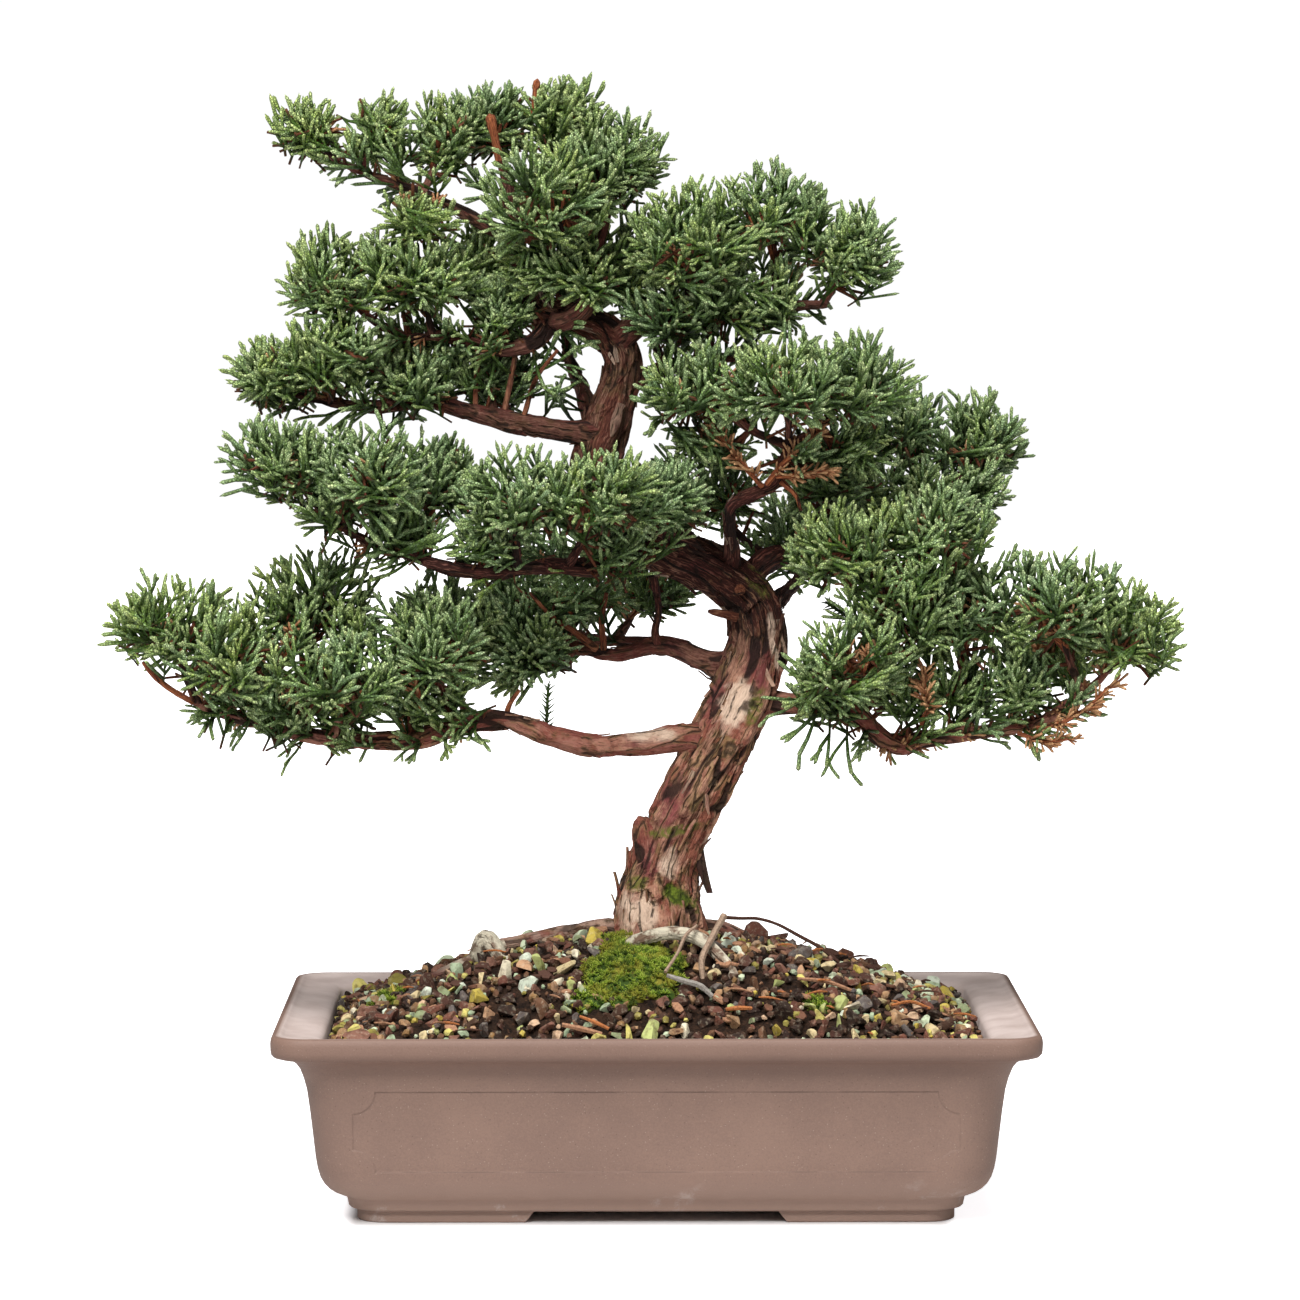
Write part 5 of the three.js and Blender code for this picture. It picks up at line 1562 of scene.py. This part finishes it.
def add_flakes(bm, rng, stations, templates, count, shortest, longest):
    """Lifts strips of bark off a stem, along its grain."""
    frames = carried_frames(stations)
    for _ in range(count):
        step = rng.randrange(4, len(stations) - 4)
        station = stations[step]
        tangent = frames[step][0]
        outward = outward_at(frames[step], rng.uniform(0, FULL_TURN))
        heading = tangent * rng.choice((-1, 1)) + 0.12 * outward.cross(tangent) * rng.uniform(-1, 1)
        length = rng.uniform(shortest, longest)
        place = station.xyz + outward * (station.w * 0.96) - heading * length * 0.3
        pale = max(0.0, rng.uniform(-2, 0.8))
        crack = max(0.0, rng.uniform(-1.5, 0.22))
        matrix = aimed(place, heading, length, outward)
        stamp(bm, rng.choice(templates), matrix, plate=rng.random(), pale=pale, crack=crack)


def nearest_on_branch(stations, target):
    """The step where a twig best leaves the branch for a clump: near it, and a little towards the root."""
    last = len(stations) - 1

    def cost(step):
        return (stations[step].xyz - target).length + 7 * (step / last)

    return min((step for step in range(last) if step / last >= 0.05), key=cost)


# Leaves: whips are scale-leaved shoots, sprays are bunches of them, and clumps of sprays make a pad

# How often an old twig bears dead needles, where that is more than elsewhere
DEAD_SHARES = {"pad_low_right": 0.8, "pad_riser": 0.9, "pad_middle_right": 0.5}

# Extra clumps that make a pad whole: middle and half sizes
EXTRA_CLUMPS = {
    "pad_low_right": [
        ((70, -22, 213), (13, 11, 15)), ((104, -16, 218), (19, 15, 18)), ((127, -12, 214), (17, 14, 17)),
        ((150, -14, 216), (15, 14, 16)),
    ],
    "pad_crown_right": [
        ((2, -14, 366), (14, 12, 11)), ((24, -14, 374), (15, 13, 12)), ((48, -16, 374), (15, 13, 12)),
    ],
    "pad_low_left": [
        ((-90, -30, 212), (17, 13, 15)), ((-128, -30, 208), (17, 13, 13)), ((-154, -32, 209), (14, 11, 10)),
        ((-174, -30, 218), (12, 10, 10)),
    ],
    "pad_shelf": [
        ((-68, -38, 276), (15, 12, 12)), ((-16, -32, 276), (14, 11, 12)), ((-104, -34, 281), (15, 11, 13)),
        ((-130, -32, 291), (12, 10, 10)),
    ],
    "pad_upper_left": [((-100, -18, 340), (14, 12, 11))],
    "pad_apex": [
        ((-28, -18, 381), (12, 9, 12)), ((-52, -12, 386), (13, 9, 14)), ((-40, -18, 390), (12, 9, 12)),
    ],
    "pad_crown_left": [((-64, -6, 371), (13, 10, 13))],
    "pad_crown_behind": [((-12, 14, 382), (15, 10, 17)), ((14, 18, 372), (15, 10, 13))],
    "pad_low_centre": [
        ((-64, 24, 243), (17, 13, 13)), ((-84, 12, 240), (14, 12, 12)), ((-66, 8, 220), (14, 10, 14)),
        ((-48, 14, 228), (12, 10, 11)),
    ],
    "pad_middle_right": [((22, -20, 313), (14, 10, 10)), ((80, -16, 312), (15, 11, 11))],
    "pad_behind": [
        ((112, 22, 292), (16, 12, 13)), ((138, 18, 292), (14, 12, 11)), ((84, 24, 296), (15, 12, 13)),
    ],
}
# Pads whose tufts are smaller than their boxes
TIGHT_PADS = {"pad_arm": 0.84, "pad_apex": 0.9, "pad_apex_left": 0.92, "pad_crown_right": 0.93}
# From cold blue-green to warm yellow-green, for pads and single tufts
USUAL_TONE = 0.35
PAD_TONES = {
    "pad_shelf": 0.26, "pad_crown_right": 0.34, "pad_middle_right": 0.28, "pad_behind": 0.2, "pad_apex": 0.42,
    "pad_arm": 0.5, "pad_crown_left": 0.4, "pad_low_centre": 0.15,
}
WARM_TUFTS = {
    "low_left_end": 0.45, "low_left_outer": 0.2, "low_right_end": 0.3, "crown_left_middle": 0.2,
    "arm_tip": 0.1,
}
SEPARATE_CLUMPS = ("pad_arm",)
# Leafy pads: the branch that carries each, and its tufts
PADS = {
    "pad_arm": ("top_left_arm", ("arm_tip", "arm_middle", "arm_inner", "arm_under")),
    "pad_apex_left": ("trunk", ("apex_left", "apex_back")),
    "pad_apex": ("curl", ("apex_top", "apex_front", "apex_right")),
    "pad_crown_left": ("left_crown", ("crown_left_end", "crown_left_middle", "crown_left_inner")),
    "pad_crown_right": ("right_crown", ("crown_right_inner", "crown_right_middle", "crown_right_end")),
    "pad_crown_behind": ("right_back", ("crown_right_back", "crown_left_behind")),
    "pad_upper_left": (
        "left_upper", ("upper_left_end", "upper_left_outer", "upper_left_middle", "upper_left_inner")),
    "pad_shelf": (
        "front_left", ("shelf_left_end", "shelf_left_middle", "shelf_left_inner", "shelf_centre_left",
                       "shelf_centre", "shelf_centre_right")),
    "pad_middle_right": ("hooked_twig", ("middle_right_inner", "middle_right", "middle_right_outer")),
    "pad_behind": ("right_middle", ("behind_trunk", "behind_right", "far_right_inner", "far_right_end")),
    "pad_riser": ("right_riser", ("riser_inner", "riser_outer", "riser_under")),
    "pad_low_right": (
        "lower_right", ("low_right_inner", "low_right_middle", "low_right_outer", "low_right_end",
                        "low_right_back")),
    "pad_low_left": (
        "lower_left", ("low_left_end", "low_left_outer", "low_left_middle", "low_left_front",
                       "low_left_inner", "low_left_back")),
    "pad_low_centre": ("left_middle", ("low_centre",)),
    "pad_back_left": ("back_left", ("back_left_end", "back_left_inner")),
    "pad_back_right": ("back_right", ("back_right_end",)),
    "pad_back_upper": ("back_top", ("back_upper",)),
}
SPRAY_LENGTHS = (16, 22, 28)
WHIP_RADIUS = 0.9
CLUMP_SPRAYS = 32
BRIDGE_SPRAYS = 17
BRANCH_SPRAY_SPACING = 3.8
LONGEST_CARRIER = 12
CARRIER_LENGTH = 10
# Clumps with fewer sprays than others
THIN_CLUMPS = {
    "arm_under": 0.4, "arm_tip": 0.65, "arm_middle": 0.6, "arm_inner": 0.7, "crown_left_behind": 0.6,
    "low_centre": 0.6, "riser_under": 0.6,
}
# Where along a spray's main shoot its knots lie
SHOOT_SHARES = (-0.12, 0.2, 0.55, 0.94, 1.0)
NEEDLES_ON_SHOOT = 30
NEEDLES_ON_OLD_TWIG = 7
YOUNG_TWIGS = 7
TWIG_SEEDS = (60, 90)
LEAF_LAYERS = ("growth", "tone", "dry")
# Strips of bark on the trunk and on each branch: count, least and greatest length
TRUNK_STRIPS = (290, 5, 15)
BRANCH_STRIPS = {"lower_left": 44}
USUAL_STRIPS = 20
BRANCH_STRIP_LENGTHS = (2.5, 7)


def rod(bm, places, widths, growths):
    """A thin rod with a blunt tip through some places, four-sided."""
    growth = bm.verts.layers.float["growth"]
    stations = [Vector((*place, width)) for place, width in zip(places, widths)]

    def shape(vert, step, station, outward, angle):
        vert[growth] = growths[step]
        return station.w

    bend_grid(bm, 4, stations, shape)


def whip(bm, start, heading, length, radius, first_growth, last_growth, bent=True):
    """One scale-leaved whip."""
    bend = heading.orthogonal().normalized() * length * 0.06
    turn = last_growth - first_growth
    places = [start, start + heading * length * 0.88, start + heading * length]
    widths = [radius * 0.8, radius, 0.0]
    growths = [first_growth, first_growth + turn * 0.88, last_growth]
    if bent:
        places.insert(1, start + heading * length * 0.45 + bend)
        widths.insert(1, radius * 0.97)
        growths.insert(1, first_growth + turn * 0.5)
    rod(bm, places, widths, growths)


def spray_template(rng, name, reach, side_whips):
    """A shoot of a given length along +Z, its tip turned towards +X, with side whips fanned to two sides."""
    bm = bmesh.new()
    float_layers(bm, *LEAF_LAYERS)
    curve = rng.uniform(0.15, 0.45)

    def on_shoot(share):
        return Vector((curve * reach * (share * share - share), 0, reach * share))

    places = [on_shoot(share) for share in SHOOT_SHARES]
    widths = [WHIP_RADIUS * width for width in (0.6, 0.66, 0.85, 1.0, 0.0)]
    rod(bm, places, widths, [0.0, 0.22, 0.5, 0.9, 1.0])
    plane = rng.uniform(0, math.pi)
    for i in range(side_whips):
        share = 0.08 + 0.74 * (i + rng.uniform(-0.2, 0.2)) / max(1, side_whips - 1)
        place = on_shoot(share)
        forward = Vector((curve * (2 * share - 1), 0, 1)).normalized()
        angle = plane + i * math.pi + rng.uniform(-0.5, 0.5)
        side = compass(angle)
        lean = math.radians(rng.uniform(24, 40))
        heading = (side * math.sin(lean) + forward * math.cos(lean) + Vector((0.12, 0, 0))).normalized()
        longest = (reach * (1 - share) + 4) / math.cos(lean)
        length = min(rng.uniform(10.5, 17) * (1.3 - 0.6 * share), longest)
        radius = WHIP_RADIUS * rng.uniform(0.84, 1)
        first = 0.12 + 0.45 * share
        last = rng.uniform(0.82, 1)
        whip(bm, place, heading, length, radius, first, last, bent=rng.random() < 0.45)
        if rng.random() < 0.6 and share < 0.8:
            angle = rng.choice((-1, 1)) * rng.uniform(0.45, 0.7)
            turned = Matrix.Rotation(angle, 3, side.cross(UP).cross(heading)) @ heading
            start = place + heading * length * rng.uniform(0.3, 0.6)
            middle = (first + last) / 2
            whip(bm, start, turned.normalized(), length * 0.45, radius * 0.92, middle, last, bent=False)
    close_shape(bm)
    return template_of(name, bm)


def dead_template(rng, name):
    """A few dry pointed needles left on an old twig."""
    bm = bmesh.new()
    float_layers(bm, *LEAF_LAYERS)
    for i in range(NEEDLES_ON_OLD_TWIG):
        angle = i * GOLDEN_ANGLE
        heading = Vector((math.cos(angle) * 0.5, math.sin(angle) * 0.5, rng.uniform(0.4, 1))).normalized()
        start = UP * rng.uniform(-1, 4)
        length = rng.uniform(4, 8)
        growths = rng.uniform(0, 0.3), rng.uniform(0.2, 0.6)
        whip(bm, start, heading, length, 0.55, *growths, bent=False)
    close_shape(bm)
    return template_of(name, bm)


def needle_template(rng, name, reach):
    """A young shoot with short sharp needles."""
    bm = bmesh.new()
    growth = float_layers(bm, *LEAF_LAYERS)[0]
    rod(bm, [UP * -3, UP * reach * 0.9, UP * reach], [0.8, 0.6, 0.0], [0.1, 0.3, 0.5])
    for i in range(NEEDLES_ON_SHOOT):
        share = 0.06 + 0.92 * i / NEEDLES_ON_SHOOT
        angle = i * GOLDEN_ANGLE
        side = compass(angle)
        heading = (side * 0.8 + UP * 0.6).normalized()
        length = rng.uniform(5.5, 8) * (1 - 0.35 * share)
        leaf = pointed_leaf(bm, 0.62, 0.04, length)
        for vert in leaf:
            vert[growth] = 0.5 if vert.co.z > 0 else 0.3
        aim_leaf(bm, leaf, length, aimed(Vector((0, 0, reach * share)), heading, 1))
    bmesh.ops.recalc_face_normals(bm, faces=bm.faces)
    return template_of(name, bm)


def tuft_box(name):
    """Middle and half sizes of a tuft's CAD node, in millimetres round the pot's middle."""
    low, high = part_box("leaves_" + name)
    to_layout = TO_FRAME.inverted()
    low, high = to_layout @ Vector(low), to_layout @ Vector(high)
    return (low + high) / 2, (high - low) / 2


def add_spray(bm, rng, kinds, base, target, tone):
    """Stamps one spray from its base to a place on the pad's outline."""
    heading = target - base
    reach = min(31.0, max(13.0, heading.length))
    kind = min(SPRAY_LENGTHS, key=lambda length: abs(length - reach))
    matrix = aimed(base, heading, reach / kind, UP, rng.uniform(-0.6, 0.6))
    share = clamped(tone + rng.gauss(0, 0.22))
    dry = 0.8 if rng.random() < 0.0015 else 0.0
    stamp(bm, rng.choice(kinds[kind]), matrix, tone=share, dry=dry)


def add_sprig(bm, rng, templates, place, heading, roll_to=None, largest=1.2, warmest=1.0, dry=0.0):
    """Stamps one of some templates, about as large as it was made."""
    matrix = aimed(place, heading, rng.uniform(0.8, largest), roll_to)
    stamp(bm, rng.choice(templates), matrix, tone=rng.uniform(0, warmest), dry=dry)


def carrier_template():
    """A short length of bare twig."""
    bm = bmesh.new()
    float_layers(bm, *LEAF_LAYERS)
    rod(bm, [Vector(), UP * CARRIER_LENGTH], [0.7, 0.5], [0.0, 0.0])
    close_shape(bm)
    return template_of("carrier", bm)


def grow_base(bm, rng, carrier, twigs, target, direction):
    """Where a spray to the target starts: behind and below it, on a thin carrier from the nearest twig."""
    heading = Vector((
        direction.x * 0.8 + rng.gauss(0, 0.36), direction.y * 0.26 + rng.gauss(0, 0.22),
        0.42 + 0.85 * direction.z + rng.gauss(0, 0.14)))
    base = target - heading.normalized() * rng.uniform(17, 28)
    nearest = min(twigs, key=lambda place: (place - base).length_squared)
    offset = base - nearest
    if offset.length > LONGEST_CARRIER:
        offset *= LONGEST_CARRIER / offset.length
    base = nearest + offset
    carried = base + (target - base) * 0.06 - nearest
    if offset.length > 1.5:
        matrix = aimed(nearest, carried, carried.length / CARRIER_LENGTH)
        stamp(bm, carrier, matrix, tone=rng.random())
    return base


def inside_share(place, clump):
    """How far out in a clump a place lies, from 0 at its middle to 1 at its outline."""
    middle, half = clump
    offset = place - middle
    return math.sqrt((offset.x / half.x) ** 2 + (offset.y / half.y) ** 2 + (offset.z / half.z) ** 2)


def fill_pad(bm, rng, clumps, counts, tones, twigs, kinds):
    """Sprays over the joint outline of a pad's clumps, each grown from the nearest fit twig."""
    for clump, count, tone in zip(clumps, counts, tones):
        middle, half = clump
        seed = Vector((rng.uniform(0, 90), rng.uniform(0, 90), 0))
        own_tone = tone + rng.gauss(0, 0.12)
        for i in range(count):
            z = 1 - 1.72 * (i + rng.uniform(0.1, 0.9)) / count
            angle = i * GOLDEN_ANGLE + rng.uniform(-0.4, 0.4)
            flat = math.sqrt(max(0.0, 1 - z * z))
            direction = Vector((math.cos(angle) * flat, math.sin(angle) * flat, z))
            reach = 1.02 + 0.34 * noise.noise(direction * 1.5 + seed) + rng.uniform(-0.16, 0.1)
            target = middle + direction * half * reach
            if any(other is not clump and inside_share(target, other) < 0.72 for other in clumps):
                continue
            base = grow_base(bm, rng, kinds["carrier"], twigs, target, direction)
            add_spray(bm, rng, kinds, base, target, own_tone)


def line_branch(bm, rng, stations, kinds, tone, dead):
    """Sprays along the leafy part of a branch, to its sides, up and forward, and a share of dead needles."""
    frames = carried_frames(stations)
    spacing = (stations[1] - stations[0]).xyz.length
    at = 0.0
    while at < len(stations) - 1:
        tangent = frames[int(at)][0]
        station = stations[int(at)]
        outward = outward_at(frames[int(at)], rng.uniform(0, FULL_TURN))
        at += BRANCH_SPRAY_SPACING / spacing * rng.uniform(0.6, 1.4)
        if rng.random() < dead:
            add_sprig(bm, rng, kinds["dead"], station.xyz, outward + tangent * 0.8, dry=1.0)
        if outward.z < -0.45:
            continue
        heading = outward + tangent * rng.uniform(0.2, 0.8) + UP * 0.15
        target = station.xyz + heading.normalized() * rng.uniform(17, 27)
        add_spray(bm, rng, kinds, station.xyz, target, tone)
        if rng.random() < 0.22:
            aside = outward.cross(tangent) * rng.uniform(-0.6, 0.6)
            droop = aside + tangent * rng.uniform(0.3, 1) - UP * rng.uniform(0, 0.6)
            add_sprig(bm, rng, kinds["stray"], station.xyz, droop, UP)


def grow_twigs(bm, rng, foot, middle, half, thick):
    """The twig from a branch into a clump and the young ones it forks into. Returns places along them."""
    growth = ((middle - foot).normalized() + 0.45 * UP).normalized()
    root = middle - growth * 0.5 * min(half)
    reach = (root - foot).length
    half_way = foot.lerp(root, 0.5) - UP * reach * 0.05
    main = [(*foot, thick), (*half_way, thick * 0.8), (*root, 1.1)]
    stem(bm, main, "twig", rng.randrange(*TWIG_SEEDS))
    places = [foot, half_way, root]
    for i in range(YOUNG_TWIGS):
        angle = i * 0.9 + rng.uniform(-0.3, 0.3)
        side = Vector((math.cos(angle) * half.x, math.sin(angle) * half.y, 0))
        end = root + side * rng.uniform(0.3, 0.6) + UP * half.z * rng.uniform(0.0, 0.5)
        bend = root.lerp(end, 0.5) + side * 0.1 - UP * half.z * 0.08
        start = foot.lerp(root, rng.uniform(0.5, 1))
        fork = [(*start, 1.1), (*bend, 0.9), (*end, 0.7)]
        stem(bm, fork, "young_twig", rng.randrange(*TWIG_SEEDS), young=0.9)
        places += [start.lerp(bend, 0.5), bend, bend.lerp(end, 0.5), end]
    return places


def bridge_clumps(clumps):
    """Smaller clumps between neighbours, so that a pad is one cushion."""
    bridges = []
    for i, (middle, half) in enumerate(clumps):
        for other_middle, other_half in clumps[i + 1:]:
            if (middle - other_middle).length < 1.15 * (half.x + other_half.x):
                bridges.append(((middle + other_middle) / 2, (half + other_half) * 0.47))
    return bridges


def grow_pad(wood, leaves, rng, pad, branch, tufts, kinds):
    """A pad on its branch: twigs into its tufts, sprays over them, and more along the branch's end."""
    clumps = [tuft_box(name) for name in tufts]
    clumps = [(middle, half * TIGHT_PADS.get(pad, 1.0)) for middle, half in clumps]
    twigs = []
    first = len(branch)
    for middle, half in clumps:
        step = nearest_on_branch(branch, middle)
        foot = branch[step]
        first = min(first, step)
        thick = min(2.2, 1.1 + (middle - foot.xyz).length * 0.03)
        grown = grow_twigs(wood, rng, foot.xyz, middle, half, thick)
        twigs += grown
        for place in grown:
            if rng.random() < 0.6 * DEAD_SHARES.get(pad, 0.1):
                add_sprig(leaves, rng, kinds["dead"], place, Vector((rng.gauss(0, 0.6), -0.3, 1)), dry=1.0)
    leafy = branch[max(0, first - 3):]
    twigs += [station.xyz for station in leafy]
    tone = PAD_TONES.get(pad, USUAL_TONE)
    between = [] if pad in SEPARATE_CLUMPS else bridge_clumps(clumps)
    extra = [(Vector(middle), Vector(half)) for middle, half in EXTRA_CLUMPS.get(pad, ())]
    counts = [round(CLUMP_SPRAYS * THIN_CLUMPS.get(name, 1)) for name in tufts]
    counts += [BRIDGE_SPRAYS] * (len(between) + len(extra))
    tones = [tone + WARM_TUFTS.get(name, 0) for name in tufts] + [tone] * (len(between) + len(extra))
    fill_pad(leaves, rng, clumps + between + extra, counts, tones, twigs, kinds)
    if len(leafy) > 3:
        line_branch(leaves, rng, leafy, kinds, tone, DEAD_SHARES.get(pad, 0.12))


def add_dry_twig(wood, leaves, rng, route, needles):
    """A bare brown twig with dead needles to all sides."""
    stations = stem(wood, route, "dry_twig", rng.randrange(*TWIG_SEEDS), young=0.9)
    for station, carried in list(zip(stations, carried_frames(stations)))[2:]:
        outward = outward_at(carried, rng.uniform(0, FULL_TURN))
        if rng.random() < 0.7:
            add_sprig(leaves, rng, needles, station.xyz, carried[0] + outward * 0.5, largest=1.15, dry=1.0)


def grow_tree(bark, leaf):
    rng = random.Random(41)
    bm = bmesh.new()
    stems = {"trunk": stem(bm, TRUNK, "trunk", 1)}
    for number, (name, route) in enumerate(BRANCHES.items()):
        stems[name] = stem(bm, route, "branch", 2 + number)
    for number, (route, bare) in enumerate(ROOTS.values()):
        stem(bm, route, "root", 30 + number, root=bare)
    stem(bm, STUMP, "stump", 55)
    for number, (route, youth) in enumerate(SMALL_WOOD):
        stem(bm, route, "small", 60 + number, young=youth)

    kinds = {}
    for reach in SPRAY_LENGTHS:
        whips = round(reach / 3.5)
        kinds[reach] = [spray_template(rng, "spray_%d_%d" % (reach, i), reach, whips) for i in range(7)]
    kinds["stray"] = [spray_template(rng, "stray_%d" % i, 17, 2) for i in range(4)]
    kinds["young"] = [needle_template(rng, "young_shoot_%d" % i, 24) for i in range(3)]
    kinds["carrier"] = carrier_template()
    kinds["dead"] = [dead_template(rng, "dead_needles_%d" % i) for i in range(4)]
    for pad, (branch, tufts) in PADS.items():
        leaves = bmesh.new()
        float_layers(leaves, *LEAF_LAYERS)
        stations = stems[branch][len(stems[branch]) * 5 // 6:] if branch == "trunk" else stems[branch]
        grow_pad(bm, leaves, rng, pad, stations, tufts, kinds)
        if pad == "pad_upper_left":
            for foot, heading in STRAY_SPRAYS:
                add_sprig(leaves, rng, kinds["stray"], Vector(foot), Vector(heading), UP, warmest=0.5)
        if pad == "pad_riser":
            for route in DRY_TWIGS:
                add_dry_twig(bm, leaves, rng, route, kinds["dead"])
        if pad == "pad_low_centre":
            for foot, heading in YOUNG_SHOOTS:
                add_sprig(
                    leaves, rng, kinds["young"], Vector(foot), Vector(heading), largest=1.1, warmest=0.4)
        add_piece(pad, leaves, leaf, ["leaves_" + name for name in tufts], smooth=False)

    flakes = [flake_template(rng, "bark_strip_%d" % i) for i in range(8)]
    add_flakes(bm, rng, stems["trunk"], flakes, *TRUNK_STRIPS)
    for name in BRANCHES:
        count = BRANCH_STRIPS.get(name, USUAL_STRIPS)
        add_flakes(bm, rng, stems[name], flakes, count, *BRANCH_STRIP_LENGTHS)
    for start, end, outward, pale in STRIPS:
        start, outward = Vector(start), Vector(outward)
        heading = Vector(end) - start
        matrix = aimed(start, heading, heading.length, outward)
        stamp(bm, rng.choice(flakes), matrix, plate=0.2, pale=max(0.0, pale), crack=max(0.0, -pale))
    bmesh.ops.recalc_face_normals(bm, faces=bm.faces)
    add_piece("trunk_and_branches", bm, bark, ["wood"], smooth=False)


add_camera()
add_studio()
make_pot(stoneware_material())
make_soil_bed(humus_material())
scatter_grit({kind: grit_material(kind) for kind in GRIT_COLOURS})
add_litter(litter_material())
make_moss(moss_material())
grow_tree(bark_material(), foliage_material())
plastic = screen_material()
for side in ("left", "right"):
    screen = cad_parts["drainage_screen_" + side]
    screen.data.materials.clear()
    screen.data.materials.append(plastic)
